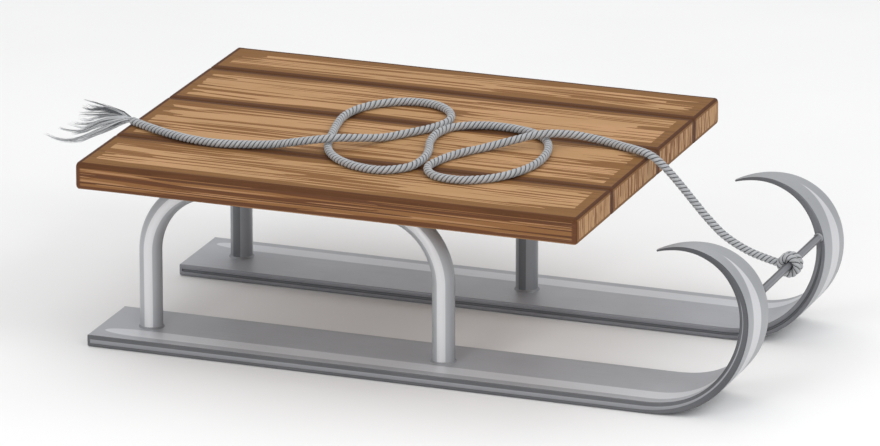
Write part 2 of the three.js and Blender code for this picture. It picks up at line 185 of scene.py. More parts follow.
class G:
    """a small node-graph builder"""

    def __init__(self, name):
        self.m = bpy.data.materials.new(name)
        self.m.use_nodes = True
        self.nt = self.m.node_tree
        self.nt.nodes.clear()
        self.out = self.nt.nodes.new("ShaderNodeOutputMaterial")
        self.b = self.nt.nodes.new("ShaderNodeBsdfPrincipled")
        self.nt.links.new(self.b.outputs[0], self.out.inputs[0])
        self._xyz = None

    def new(self, kind, **props):
        n = self.nt.nodes.new(kind)
        for k, val in props.items():
            setattr(n, k, val)
        return n

    def put(self, socket, val):
        if isinstance(val, bpy.types.NodeSocket):
            self.nt.links.new(val, socket)
        elif isinstance(val, (tuple, list)) and len(val) == 3 and socket.type == "RGBA":
            socket.default_value = (*val, 1.0)
        else:
            socket.default_value = val

    def coord(self):
        return self.new("ShaderNodeTexCoord").outputs["Object"]

    def xyz(self):
        if self._xyz is None:
            n = self.new("ShaderNodeSeparateXYZ")
            self.put(n.inputs[0], self.coord())
            self._xyz = (n.outputs[0], n.outputs[1], n.outputs[2])
        return self._xyz

    def vec(self, x, y, z):
        n = self.new("ShaderNodeCombineXYZ")
        for s, val in zip(n.inputs, (x, y, z)):
            self.put(s, val)
        return n.outputs[0]

    def attr(self, name):
        n = self.new("ShaderNodeAttribute")
        n.attribute_name = name
        return n.outputs["Fac"]

    def math(self, op, a, b=0.0, c=0.0, clamp=False):
        n = self.new("ShaderNodeMath", operation=op, use_clamp=clamp)
        self.put(n.inputs[0], a)
        self.put(n.inputs[1], b)
        if op in ("MULTIPLY_ADD", "SMOOTH_MIN", "SMOOTH_MAX", "WRAP", "COMPARE", "PINGPONG"):
            self.put(n.inputs[2], c) if len(n.inputs) > 2 else None
        return n.outputs[0]

    def add(self, a, b): return self.math("ADD", a, b)
    def sub(self, a, b): return self.math("SUBTRACT", a, b)
    def mul(self, a, b): return self.math("MULTIPLY", a, b)
    def mad(self, a, b, c): return self.math("MULTIPLY_ADD", a, b, c)
    def min(self, a, b): return self.math("MINIMUM", a, b)
    def max(self, a, b): return self.math("MAXIMUM", a, b)
    def abs(self, a): return self.math("ABSOLUTE", a)

    def step(self, x, lo, hi, a=0.0, b=1.0):
        """smooth step of x from lo to hi, giving a to b"""
        n = self.new("ShaderNodeMapRange", interpolation_type="SMOOTHSTEP", clamp=True)
        for i, val in enumerate((x, lo, hi, a, b)):
            self.put(n.inputs[i], val)
        return n.outputs[0]

    def ramp(self, x, lo, hi, a=0.0, b=1.0):
        n = self.new("ShaderNodeMapRange", interpolation_type="LINEAR", clamp=True)
        for i, val in enumerate((x, lo, hi, a, b)):
            self.put(n.inputs[i], val)
        return n.outputs[0]

    def noise(self, v, scale=1.0, detail=2.0, rough=0.5, distort=0.0):
        n = self.new("ShaderNodeTexNoise", noise_dimensions="3D")
        self.put(n.inputs["Vector"], v)
        n.inputs["Scale"].default_value = scale
        n.inputs["Detail"].default_value = detail
        n.inputs["Roughness"].default_value = rough
        n.inputs["Distortion"].default_value = distort
        return n.outputs["Fac"]

    def voronoi(self, v, scale=1.0, feature="F1", rand=1.0):
        n = self.new("ShaderNodeTexVoronoi", feature=feature)
        self.put(n.inputs["Vector"], v)
        n.inputs["Scale"].default_value = scale
        n.inputs["Randomness"].default_value = rand
        return n.outputs["Distance"]

    def mix(self, f, a, b, blend="MIX"):
        n = self.new("ShaderNodeMix", data_type="RGBA", blend_type=blend)
        n.clamp_factor = True
        self.put(n.inputs[0], f)
        self.put(n.inputs[6], a)
        self.put(n.inputs[7], b)
        return n.outputs[2]

    def bump(self, height, strength=0.3, distance=0.001, normal=None):
        n = self.new("ShaderNodeBump")
        n.inputs["Strength"].default_value = strength
        n.inputs["Distance"].default_value = distance
        self.put(n.inputs["Height"], height)
        if normal is not None:
            self.put(n.inputs["Normal"], normal)
        return n.outputs[0]

    def set(self, name, val):
        self.put(self.b.inputs[name], val)


# ------------------------------------------------------------------ rope fibre material
def rope_material():
    g = G("rope_laid")
    t = g.attr("strand")          # 0 in a groove, 1 on a strand's crest
    u = g.attr("across")          # runs 0..1 across a strand
    s = g.attr("along")           # millimetres along the rope
    k = g.attr("which")           # strand number
    # yarns lie across the strand at a steep angle; each strand has its own shade
    yarn = g.noise(g.vec(g.mad(u, 9.0, g.mul(s, 0.55)), g.mul(s, 0.16), g.mul(k, 7.3)), 1.0, 2.0, 0.55)
    fine = g.noise(g.vec(g.mad(u, 34.0, g.mul(s, 1.9)), g.mul(s, 0.7), g.mul(k, 3.1)), 1.0, 3.0, 0.6)
    slow = g.noise(g.vec(g.mul(s, 0.012), g.mul(k, 0.15), 4.0), 1.0, 2.0, 0.5)
    x, y, z = g.xyz()
    grime = g.noise(g.coord(), 38.0, 3.0, 0.6)
    crest = g.mix(g.step(yarn, 0.3, 0.72), lin("9d9fa2"), lin("b5b7b9"))
    crest = g.mix(g.step(fine, 0.58, 0.8, 0.0, 0.4), crest, lin("c6c8ca"))
    crest = g.mix(g.step(fine, 0.42, 0.25, 0.0, 0.4), crest, lin("8e9093"))
    crest = g.mix(g.step(slow, 0.45, 0.8, 0.0, 0.16), crest, lin("8e8b84"))
    # painted shade: the grooves between the strands are painted dark, so the lay shows as dark lines
    col = g.mix(g.step(t, 0.12, 0.36), lin("5f6164"), crest)
    col = g.mix(g.step(grime, 0.62, 0.85, 0.0, 0.25), col, lin("77726a"))
    g.set("Base Color", col)
    g.set("Roughness", g.ramp(fine, 0.3, 0.7, 0.78, 0.95))
    g.b.inputs["Sheen Weight"].default_value = 0.12
    g.b.inputs["Sheen Roughness"].default_value = 0.5
    g.b.inputs["Specular IOR Level"].default_value = 0.25
    h = g.add(g.mul(yarn, 0.7), g.mul(fine, 0.35))
    g.set("Normal", g.bump(h, 0.55, 0.0006))
    return g.m


def fibre_material():
    g = G("rope_fibres")
    tone = g.attr("tone")
    s = g.attr("along")
    n = g.noise(g.vec(g.mul(s, 6.0), g.mul(tone, 40.0), 0.0), 1.0, 2.0, 0.6)
    col = g.mix(g.step(tone, 0.25, 0.70), lin("4c4f52"), lin("bfc1c3"))
    col = g.mix(g.step(n, 0.5, 0.75, 0.0, 0.3), col, lin("cfd0d1"))
    g.set("Base Color", col)
    g.set("Roughness", g.ramp(n, 0.3, 0.7, 0.6, 0.8))
    g.b.inputs["Sheen Weight"].default_value = 0.15
    g.b.inputs["Specular IOR Level"].default_value = 0.3
    g.set("Normal", g.bump(n, 0.25, 0.0003))
    return g.m


# ------------------------------------------------------------------ tow rope (route of the CAD source)
ROPE_R = 4.5
ROUTE = [
    [5.6, -86.1, 229.8], [33.1, -102.3, 229.8], [61.8, -116.2, 229.8], [92.0, -126.4, 229.8],
    [123.6, -129.2, 229.8], [154.7, -122.5, 229.8], [185.7, -115.4, 231.4], [216.8, -111.9, 237.3],
    [244.9, -98.0, 239.5], [265.4, -74.1, 234.9], [283.3, -48.2, 230.1], [302.0, -22.4, 229.8],
    [319.7, 4.1, 229.8], [327.2, 34.6, 229.8], [317.0, 64.4, 229.8], [293.3, 85.1, 229.8],
    [262.1, 87.1, 229.8], [235.7, 70.0, 229.8], [219.3, 42.8, 229.8], [214.3, 11.5, 229.8],
    [218.1, -20.1, 229.8], [225.0, -51.2, 229.8], [232.5, -82.2, 229.8], [243.8, -112.0, 229.8],
    [263.1, -137.2, 229.8], [289.6, -154.6, 229.8], [320.7, -159.5, 229.8], [344.7, -140.6, 229.8],
    [350.2, -109.4, 229.8], [345.5, -78.0, 229.8], [335.9, -47.6, 229.8], [331.8, -16.1, 229.8],
    [340.4, 14.2, 229.8], [366.5, 31.3, 229.8], [398.1, 33.0, 229.8], [428.4, 23.7, 229.8],
    [451.3, 1.9, 229.8], [463.8, -27.3, 229.8], [469.3, -58.6, 229.8], [467.9, -90.4, 229.8],
    [458.3, -120.7, 229.8], [441.0, -147.3, 229.8], [413.8, -162.9, 229.8], [382.8, -158.4, 229.8],
    [365.3, -133.3, 229.8], [368.8, -101.8, 229.8], [380.2, -72.1, 229.8], [398.1, -45.8, 230.1],
    [421.9, -25.2, 234.6], [448.0, -7.6, 239.5], [475.1, 9.0, 237.6], [504.2, 20.0, 231.7],
    [534.2, 11.8, 230.0], [556.5, -1.5, 231.3], [575.2, -7.9, 228.6], [591.8, -7.8, 215.9],
    [607.6, -6.3, 198.8], [622.2, -4.9, 181.7], [638.5, -3.7, 163.3], [658.0, -2.7, 145.7],
    [684.4, -1.2, 131.5], [714.8, 0.0, 122.6]]
BAR_X, BAR_Z, BAR_R = 729.4, 121.5, 4.25


def catmull(points, per=24):
    p = np.asarray(points, float)
    p = np.vstack([2 * p[0] - p[1], p, 2 * p[-1] - p[-2]])
    out = []
    for i in range(1, len(p) - 2):
        p0, p1, p2, p3 = p[i - 1], p[i], p[i + 1], p[i + 2]
        t = np.linspace(0, 1, per, endpoint=False)[:, None]
        out.append(0.5 * (2 * p1 + (p2 - p0) * t + (2 * p0 - 5 * p1 + 4 * p2 - p3) * t ** 2
                          + (3 * p1 - p0 - 3 * p2 + p3) * t ** 3))
    out.append(p[-2][None])
    return np.vstack(out)


def resample(line, step):
    along = np.concatenate([[0], np.cumsum(np.linalg.norm(np.diff(line, axis=0), axis=1))])
    n = max(2, int(round(along[-1] / step)) + 1)
    at = np.linspace(0, along[-1], n)
    return np.stack([np.interp(at, along, line[:, k]) for k in range(3)], 1), at


def transport(line, up):
    """unit normals carried along the line without twist"""
    d = np.gradient(line, axis=0)
    d /= np.linalg.norm(d, axis=1)[:, None]
    n = np.zeros_like(line)
    v = np.array(up, float)
    for i in range(len(line)):
        v = v - d[i] * np.dot(v, d[i])
        v /= np.linalg.norm(v)
        n[i] = v
    return d, n, np.cross(d, n)


# the knot: two turns round the bar, the near one first seen, its end tucked between them
knot_pts = []
TURN_R = 9.15
for i, psi in enumerate(np.arange(-150.0, -150.0 + 790.0, 15.0)):
    k = (psi + 150.0) / 360.0
    shift = 1 / (1 + math.exp(-(k - 0.92) * 16))
    y = 4.55 - 9.1 * shift
    rad = TURN_R
    if k > 1.93:
        f = min(1.0, (k - 1.93) / 0.24)
        y += 4.3 * f
        rad -= 3.6 * f
    a = math.radians(psi)
    knot_pts.append([BAR_X + rad * math.cos(a), y, BAR_Z + rad * math.sin(a)])
lead = [[716.9, 2.6, 121.9]]
ROUTE_DROP = [[p[0], p[1], p[2] - 0.3] for p in ROUTE]
whole = catmull(ROUTE_DROP + lead + knot_pts[1:])
line, along = resample(whole, 0.7)
d_, n_, b_ = transport(line, (0, 0, 1))
PITCH = 14.6
# the lay opens a little where the rope runs across the deck
open_lay = 1 + 0.62 * np.clip(np.abs(d_[:, 1]), 0, 1) ** 2 * (along < 1850)
turns = np.concatenate([[0], np.cumsum(np.diff(along) / (PITCH * 0.5 * (open_lay[1:] + open_lay[:-1])))])

tt, kk = [], []
for k in range(3):
    for t in (-1.0, -0.86, -0.62, -0.32, 0.0, 0.32, 0.62, 0.86):
        tt.append(t)
        kk.append(k)
tt, kk = np.array(tt), np.array(kk)
sec_a = 2 * math.pi * kk / 3 + tt * math.pi / 3
sec_r = 3.1 + (ROPE_R - 3.1) * (1 - np.abs(tt) ** 2.1) ** 0.6


def rope_rings(i0, i1, grow=None):
    idx = np.arange(i0, i1)
    s = along[idx]
    # strands are laid a little unevenly
    uneven = 1 + 0.012 * np.sin(s * 0.21) + 0.01 * np.sin(s * 0.083 + 1.3)
    ph = -2 * math.pi * turns[idx] + 0.10 * np.sin(s * 0.045)
    ang = sec_a[None, :] + ph[:, None]
    r = sec_r[None, :] * np.minimum(uneven, 1.0)[:, None]
    # each strand stands a little differently
    r = r * (1 + 0.008 * np.sin(s[:, None] * 0.6 + kk[None, :] * 2.1))
    r = np.minimum(r, ROPE_R)
    if grow is not None:
        r = r * grow(s)[:, None]
    p = (line[idx][:, None, :] + n_[idx][:, None, :] * (r * np.cos(ang))[..., None]
         + b_[idx][:, None, :] * (r * np.sin(ang))[..., None])
    return p, s


def add_rope(piece, i0, i1, grow=None):
    rings, s = rope_rings(i0, i1, grow)
    n, m, _ = rings.shape
    v, q, t = tube(row(rings.reshape(-1, 3)).reshape(n, m, 3), cap_push=0.0006)
    strand = np.concatenate([np.tile((1 - np.abs(tt)) , n), [0.6, 0.6]])
    across = np.concatenate([np.tile((tt + 1) / 2, n), [0.5, 0.5]])
    which = np.concatenate([np.tile(kk.astype(float), n), [0, 0]])
    al = np.concatenate([np.repeat(s, m), [s[0], s[-1]]])
    piece.add(v, q, t, strand=strand, across=across, which=which, along=al)


ROPE_MAT = rope_material()
end_xyz = np.array(ROUTE_DROP[-1])
split = int(np.argmin(np.linalg.norm(line - end_xyz, axis=1)))
tow_rope_piece = Piece()
add_rope(tow_rope_piece, 0, split + 1)
tow_rope = tow_rope_piece.make("tow_rope_laid", ROPE_MAT, "rope_fibre", ["tow_rope"], sharp=60)
knot_piece = Piece()
add_rope(knot_piece, split, len(line), grow=lambda s: 1 - 0.35 * np.clip((s - (along[-1] - 12)) / 12, 0, 1))
tow_knot = knot_piece.make("tow_knot_turns", ROPE_MAT, "rope_fibre", ["tow_knot"], sharp=60)

# ------------------------------------------------------------------ frayed end
FIBRE_MAT = fibre_material()
rng = random.Random(7)
throat = np.array([5.6, -86.1, 229.5])
lead_dir = np.array([-0.862, 0.508, 0.0])
side_dir = np.array([0.508, 0.862, 0.0])


def tip_from(px, py, dy):
    """where a lock's tip lies, from how far left and down it is drawn and how far it lies across"""
    dx = (px - 0.3255 * dy) / 0.875
    dz = -(py - 0.096 * dx + 0.2553 * dy) / 0.876
    return throat + np.array([dx, dy, dz])


# each lock: how far (left, down) it is drawn at its stations, how far it lies across at its tip, fibres, tone, spread
LOCKS = [
    ([(-8, -8.4), (-20, -16.0), (-34, -19.8), (-52, -21.6)], 38, 7, 0.26, 0.38),
    ([(-10, -7.0), (-22, -12.8), (-34, -15.2), (-45, -17.4)], 35, 8, 0.86, 0.85),
    ([(-12, -7.0), (-26, -12.8), (-39, -14.0), (-47, -17.6)], 34, 8, 0.32, 0.60),
    ([(-12, -6.4), (-29, -12.2), (-44, -11.6), (-53, -15.0)], 30, 12, 0.10, 0.85),
    ([(-12, -5.8), (-26, -8.4), (-42, -8.2), (-55, -9.2)], 28, 8, 0.60, 0.7),
    ([(-12, -5.4), (-27, -6.4), (-44, -6.0), (-57, -7.4)], 26, 6, 0.30, 0.4),
    ([(-12, -5.2), (-30, -5.2), (-45, -1.4), (-55, -3.4)], 22, 10, 0.55, 0.9),
    ([(-9, -4.2), (-26, -3.4), (-44, 1.8), (-58, 1.8), (-64, -0.8)], 20, 12, 0.84, 0.9),
    ([(-9, -3.8), (-26, -2.2), (-44, 3.0), (-57, 3.0), (-62, 1.2)], 19, 5, 0.18, 0.4),
    ([(-9, -3.6), (-30, -1.0), (-48, 6.0), (-58, 4.8), (-67, 2.4)], 16, 12, 0.88, 1.0),
    ([(-9, -2.6), (-30, 0.6), (-51, 9.6), (-67, 9.0), (-76, 6.4)], 13, 13, 0.42, 1.1),
    ([(-9, -1.6), (-27, 2.4), (-45, 8.0), (-57, 10.4)], 11, 12, 0.12, 1.0),
    ([(-12, -1.2), (-33, 4.0), (-48, 10.4), (-63, 13.2)], 8, 11, 0.78, 1.0),
    ([(-8, -1.0), (-30, 6.2), (-48, 14.0), (-62, 19.0), (-77, 16.8)], 7, 14, 0.88, 1.0),
    ([(-12, -0.2), (-33, 9.0), (-55, 17.0), (-73, 18.1), (-89, 11.8)], 5, 14, 0.52, 0.9),
    ([(-8, 0.8), (-26, 8.2), (-44, 16.2), (-58, 20.4), (-75, 19.6)], 4, 11, 0.86, 0.9),
    ([(-8, 1.6), (-23, 8.6), (-40, 15.0), (-55, 20.2)], 2, 9, 0.74, 0.9),
    ([(-10, 1.0), (-20, 5.6), (-32, 11.4), (-46, 14.6)], 1, 8, 0.30, 0.7),
]
tassel_piece = Piece()
SIDES = 5
NF = 20
for li, (drawn, dy, count, lock_tone, spread) in enumerate(LOCKS):
    marks = [throat - lead_dir * 6.0, throat + np.array([0.0, 0.0, 0.6])]
    for k, (px, py) in enumerate(drawn):
        marks.append(tip_from(px * 1.035, py, dy * (k + 1) / len(drawn)))
    lock, at = resample(catmull(marks, 16), 1.0)
    lock[:, 2] = np.minimum(lock[:, 2], 235.0)
    total = at[-1]
    lock_phase = rng.uniform(0, 6.28)
    for f in range(int(count * 2.2)):
        a = rng.uniform(0, 2 * math.pi)
        rr = math.sqrt(rng.random())
        reach = 1.0 - 0.46 * rng.random() ** 1.3
        sp, su = rng.gauss(0, 1.0) * spread, rng.gauss(0, 0.8) * spread
        lean, lift = rng.gauss(0, 1.3), rng.gauss(0, 1.0)
        t = np.linspace(0, 1, NF)
        base = np.stack([np.interp(t * reach * total, at, lock[:, k]) for k in range(3)], 1)
        # round the rope's end at the root, then the lock's own spread, closing again at its tip
        in_rope = np.clip(1 - t * reach * total / 26.0, 0, 1) ** 1.3
        body = np.clip(t * 2.6, 0, 1) * (1 - np.clip((t * reach - 0.55) / 0.45, 0, 1) ** 1.2)
        off_s = 3.0 * rr * math.cos(a) * in_rope + sp * body + lean * 1.3 * t ** 2
        off_u = 3.0 * rr * math.sin(a) * in_rope + su * body + lift * 0.9 * t ** 2
        off_s = off_s + 0.35 * np.sin(t * 5.0 + lock_phase + f * 0.2) * t
        base = base + side_dir[None, :] * off_s[:, None] + np.array([0, 0, 1.0])[None, :] * off_u[:, None]
        # fibres stay off the boards
        over = base[:, 0] > -1.5
        base[over, 2] = np.maximum(base[over, 2], 226.2)
        near_edge = (base[:, 0] <= -1.5) & (base[:, 0] > -9)
        base[near_edge, 2] = np.maximum(base[near_edge, 2], 226.2 - (-1.5 - base[near_edge, 0]) * 0.9)
        dd, nn, bb = transport(base, (0, 0, 1))
        rad = (0.35 + 0.13 * rng.random()) * (1 - 0.82 * np.linspace(0, 1, NF) ** 1.5)
        ang = np.arange(SIDES) * 2 * math.pi / SIDES
        ring = (base[:, None, :] + nn[:, None, :] * (rad[:, None] * np.cos(ang))[..., None]
                + bb[:, None, :] * (rad[:, None] * np.sin(ang))[..., None])
        v, q, tri = tube(row(ring.reshape(-1, 3)).reshape(NF, SIDES, 3))
        tone = min(1.0, max(0.0, lock_tone + rng.uniform(-0.24, 0.24)))
        al = np.concatenate([np.repeat(np.linspace(0, 1, NF) * 6 + f, SIDES), [f, f + 6]])
        tassel_piece.add(v, q, tri, tone=tone, along=al)
tassel = tassel_piece.make("rope_tassel_fibres", FIBRE_MAT, "rope_fibre", ["rope_tassel"], sharp=None)


# ------------------------------------------------------------------ deck boards
DECK_L, DECK_T, DECK_Z = 570.0, 30.0, 195.0
SPANS = {"plank_right_outer": (-235.0, -124.03), "plank_right_inner": (-123.97, 26.97),
         "plank_left_inner": (27.03, 148.97), "plank_left_outer": (149.03, 235.0)}


def wood_material(name, y0, y1, seed):
    """plank with its own grain; a..e are millimetres from its long edges, ends, top and underside"""
    g = G("wood_" + name)
    x, y, z = g.xyz()
    xm = g.mad(x, 1000.0, 364.0)                      # from the deck's rear edge
    ym = g.mul(y, 1000.0)
    zm = g.mul(z, 1000.0)
    a_lo = g.sub(ym, y0)
    a_hi = g.sub(y1, ym)
    a = g.min(a_lo, a_hi)
    c = g.min(xm, g.sub(DECK_L, xm))
    b = g.sub(DECK_Z + DECK_T, zm)
    e = g.sub(zm, DECK_Z)
    o1, o2 = seed * 3.17, seed * 1.71
    # grain lines wander slowly along the board
    wander = g.noise(g.vec(g.mad(xm, 0.0024, o1), g.mad(ym, 0.010, o2), g.mul(zm, 0.006)), 1.0, 1.0, 0.4)
    yw = g.mad(g.sub(wander, 0.5), 22.0, ym)
    lens = g.noise(g.vec(g.mad(xm, 0.0040, o1 + 5.0), g.mad(yw, 0.150, o2), g.mul(zm, 0.010)), 1.0, 0.0)
    lens2 = g.noise(g.vec(g.mad(xm, 0.0060, o1 + 9.0), g.mad(yw, 0.25, o2 + 3.0), g.mul(zm, 0.02)), 1.0, 0.0)
    hair = g.noise(g.vec(g.mad(xm, 0.014, o1), g.mad(yw, 0.9, o2), g.mul(zm, 0.1)), 1.0, 2.0, 0.6)
    fibre = g.noise(g.vec(g.mad(xm, 0.05, o1), g.mad(yw, 3.2, o2), g.mul(zm, 0.6)), 1.0, 2.0, 0.6)
    cloud = g.noise(g.vec(g.mad(xm, 0.006, o2), g.mad(ym, 0.02, o1), g.mul(zm, 0.02)), 1.0, 3.0, 0.55)
    pores = g.noise(g.vec(g.mad(xm, 0.16, o1), g.mad(yw, 2.2, o2), g.mul(zm, 0.5)), 1.0, 1.0, 0.5)

    light = g.mix(g.step(cloud, 0.32, 0.7), lin("b18a60"), lin("bb9168"))
    light = g.mix(g.step(hair, 0.5, 0.78, 0.0, 0.20), light, lin("a0784f"))
    light = g.mix(g.step(hair, 0.46, 0.26, 0.0, 0.22), light, lin("c29a75"))
    lens3 = g.noise(g.vec(g.mad(xm, 0.0046, o1 + 17.0), g.mad(yw, 0.19, o2 + 11.0), g.mul(zm, 0.01)), 1.0, 0.0)
    streak = g.max(g.max(g.step(lens, 0.640, 0.647), g.step(lens2, 0.672, 0.682)), g.step(lens3, 0.650, 0.658))
    brown = g.mix(g.step(fibre, 0.35, 0.7), lin("805832"), lin("88603a"))
    top = g.mix(streak, light, brown)
    # darker margin along the edges; the light field ends in points at the boards' ends
    fing = g.noise(g.vec(g.mad(xm, 0.002, o1 + 13.0), g.mad(yw, 0.13, o2 + 5.0), 0.5), 1.0, 0.0)
    points = g.step(fing, 0.52, 0.76, 0.0, 34.0)
    c_eff = g.sub(c, points)
    wav = g.noise(g.vec(g.mad(xm, 0.0060, o1 + 2.0), g.mul(ym, 0.02), o2), 1.0, 1.0, 0.5)
    a_eff = g.mad(g.sub(wav, 0.5), -16.0, a)
    margin_a = g.step(a_eff, 18.4, 17.6)
    margin_c = g.step(c_eff, 15.4, 14.4)
    margin = g.max(margin_a, margin_c)
    mcol = g.mix(g.step(hair, 0.35, 0.68), lin("7e5831"), lin("876038"))
    mcol = g.mix(g.step(fibre, 0.6, 0.8, 0.0, 0.3), mcol, lin("95704a"))
    mcol = g.mix(g.step(lens2, 0.60, 0.62, 0.0, 0.55), mcol, lin("6c4a2b"))
    top = g.mix(margin, top, mcol)
    # underside: plain sawn wood with the same grain
    under = g.mix(streak, g.mix(g.step(hair, 0.4, 0.7), lin("a17a55"), lin("8c6744")), lin("7a583a"))
    # long outer sides: painted darker than the top as painted shade, with long light streaks
    s1 = g.noise(g.vec(g.mad(xm, 0.0040, o1 + 1.0), g.mul(ym, 0.01), g.mad(zm, 0.21, o2)), 1.0, 0.0)
    s2 = g.noise(g.vec(g.mad(xm, 0.0068, o1 + 4.0), g.mul(ym, 0.01), g.mad(zm, 0.50, o2 + 1.0)), 1.0, 0.0)
    s3 = g.noise(g.vec(g.mad(xm, 0.02, o1 + 7.0), g.mul(ym, 0.02), g.mad(zm, 2.2, o2 + 1.0)), 1.0, 2.0, 0.5)
    s4 = g.noise(g.vec(g.mad(xm, 0.0060, o1 + 3.0), g.mul(ym, 0.01), g.mad(zm, 0.62, o2 + 4.0)), 1.0, 0.0)
    sidec = g.mix(g.step(s3, 0.35, 0.7), lin("5f3b24"), lin("68422a"))
    sidec = g.mix(g.step(s1, 0.40, 0.415), sidec, lin("855d3a"))
    sidec = g.mix(g.step(s2, 0.59, 0.605), sidec, lin("a07854"))
    sidec = g.mix(g.step(s4, 0.585, 0.60), sidec, lin("5c3c28"))
    sidec = g.mix(g.step(s3, 0.62, 0.8, 0.0, 0.3), sidec, lin("5b3c29"))
    near_rim = g.max(g.step(g.min(b, e), 4.9, 4.1), g.step(c, 7.0, 4.5))
    sidec = g.mix(near_rim, sidec, g.mix(g.step(s3, 0.4, 0.7), lin("5c3a26"), lin("66422c")))
    # end grain: upright streaks inside a brown rim
    e1 = g.noise(g.vec(g.mul(xm, 0.01), g.mad(yw, 0.26, o2 + 6.0), g.mad(zm, 0.026, o1)), 1.0, 0.0)
    e2 = g.noise(g.vec(g.mul(xm, 0.01), g.mad(yw, 0.60, o2 + 8.0), g.mad(zm, 0.05, o1)), 1.0, 1.0, 0.5)
    e3 = g.noise(g.vec(g.mul(xm, 0.1), g.mad(ym, 2.4, o2), g.mad(zm, 2.4, o1)), 1.0, 2.0, 0.6)
    endc = g.mix(g.step(e2, 0.35, 0.72), lin("bb946d"), lin("ae875f"))
    endc = g.mix(g.step(e1, 0.575, 0.59), endc, lin("80583a"))
    endc = g.mix(g.step(e2, 0.61, 0.63, 0.0, 0.85), endc, lin("835c3c"))
    endc = g.mix(g.step(e3, 0.6, 0.75, 0.0, 0.25), endc, lin("7b5738"))
    rim = g.step(g.min(g.min(b, g.mul(e, 0.85)), g.mul(a, 0.9)), 4.8, 4.1)
    endc = g.mix(rim, endc, g.mix(g.step(e3, 0.4, 0.7), lin("7f5a36"), lin("88613c")))
    # which face: side where a is small, end where c is small
    is_top = g.step(b, 5.6, 4.6)
    col = g.mix(is_top, g.mix(g.step(e, 2.6, 1.2), sidec, under), top)
    # painted shade: the rounded long edges and the walls of the open seams are painted dark
    arris = g.mul(g.step(a, 5.2, 4.2), g.step(b, 6.2, 5.2))
    seam_shade = g.mix(g.step(hair, 0.35, 0.7), lin("55351e"), lin("5f3c24"))
    col = g.mix(arris, col, seam_shade)
    inner = [s for s in (a_lo if y0 > -230 else None, a_hi if y1 < 230 else None) if s is not None]
    # painted shade along the seams on the top
    for s in inner:
        col = g.mix(g.step(s, 9.3, 8.3), col, g.mix(g.step(s, 3.4, 1.6), seam_shade, lin("563821")))
    is_end = g.step(c, 1.45, 0.95)
    # painted shade beside the seams on the end faces; the end faces are also darker next to their long edges
    for s in inner:
        endc = g.mix(g.step(s, 6.2, 5.2), endc, lin("5f3f2b"))
    endc = g.mix(g.step(a, 3.0, 2.0), endc, lin("5a3a27"))
    col = g.mix(is_end, col, endc)
    if y1 > 230:
        col = g.mix(g.mul(g.step(a_hi, 7.6, 7.0), g.step(b, 3.0, 2.0)), col, lin("553522"))
    # the arris between the top and the end is a thin dark line
    line_c = g.mul(g.max(g.step(xm, 6.6, 6.0), g.step(g.sub(DECK_L, xm), 3.8, 3.2)), g.step(b, 2.6, 2.1))
    col = g.mix(line_c, col, lin("553522"))
    # faint handling marks and pores
    nick = g.noise(g.vec(g.mul(xm, 0.05), g.mul(ym, 0.05), g.mul(zm, 0.05)), 1.0, 4.0, 0.6)
    col = g.mix(g.step(nick, 0.56, 0.74, 0.0, 0.10), col, lin("6a4a2c"))
    col = g.mix(g.step(pores, 0.68, 0.78, 0.0, 0.30), col, lin("6f4f33"))
    g.set("Base Color", col)
    g.set("Roughness", g.add(g.ramp(hair, 0.3, 0.7, 0.56, 0.68), g.mul(streak, 0.05)))
    g.b.inputs["Specular IOR Level"].default_value = 0.12
    h = g.add(g.add(g.mul(hair, 0.5), g.mul(fibre, 0.35)), g.mul(pores, -0.35))
    h = g.sub(h, g.mul(streak, 0.12))
    g.set("Normal", g.bump(h, 0.30, 0.0006))
    return g.m


def plank_section(y0, y1, i, r_top=4.5, r_bot=3.4, arc=7, flat=7.0):
    """closed outline in (y, z), moved inwards by i"""
    z0, z1 = DECK_Z, DECK_Z + DECK_T
    cs = [(y1 - r_top, z1 - r_top, r_top, 0.0), (y0 + r_top, z1 - r_top, r_top, 90.0),
          (y0 + r_bot, z0 + r_bot, r_bot, 180.0), (y1 - r_bot, z0 + r_bot, r_bot, 270.0)]
    pts = []
    for k in range(4):
        cy, cz, r, a0 = cs[k]
        for j in range(arc + 1):
            a = math.radians(a0 + 90.0 * j / arc)
            pts.append((cy + (r - i) * math.cos(a), cz + (r - i) * math.sin(a)))
        ny, nz, nr, na = cs[(k + 1) % 4]
        a = math.radians(na)
        q = (ny + (nr - i) * math.cos(a), nz + (nr - i) * math.sin(a))
        p = pts[-1]
        full = (y1 - y0 - 12) if k % 2 == 0 else 20.0
        n = max(3, int(full / flat))
        for j in range(1, n):
            f = j / n
            pts.append((p[0] + (q[0] - p[0]) * f, p[1] + (q[1] - p[1]) * f))
    return np.array(pts)


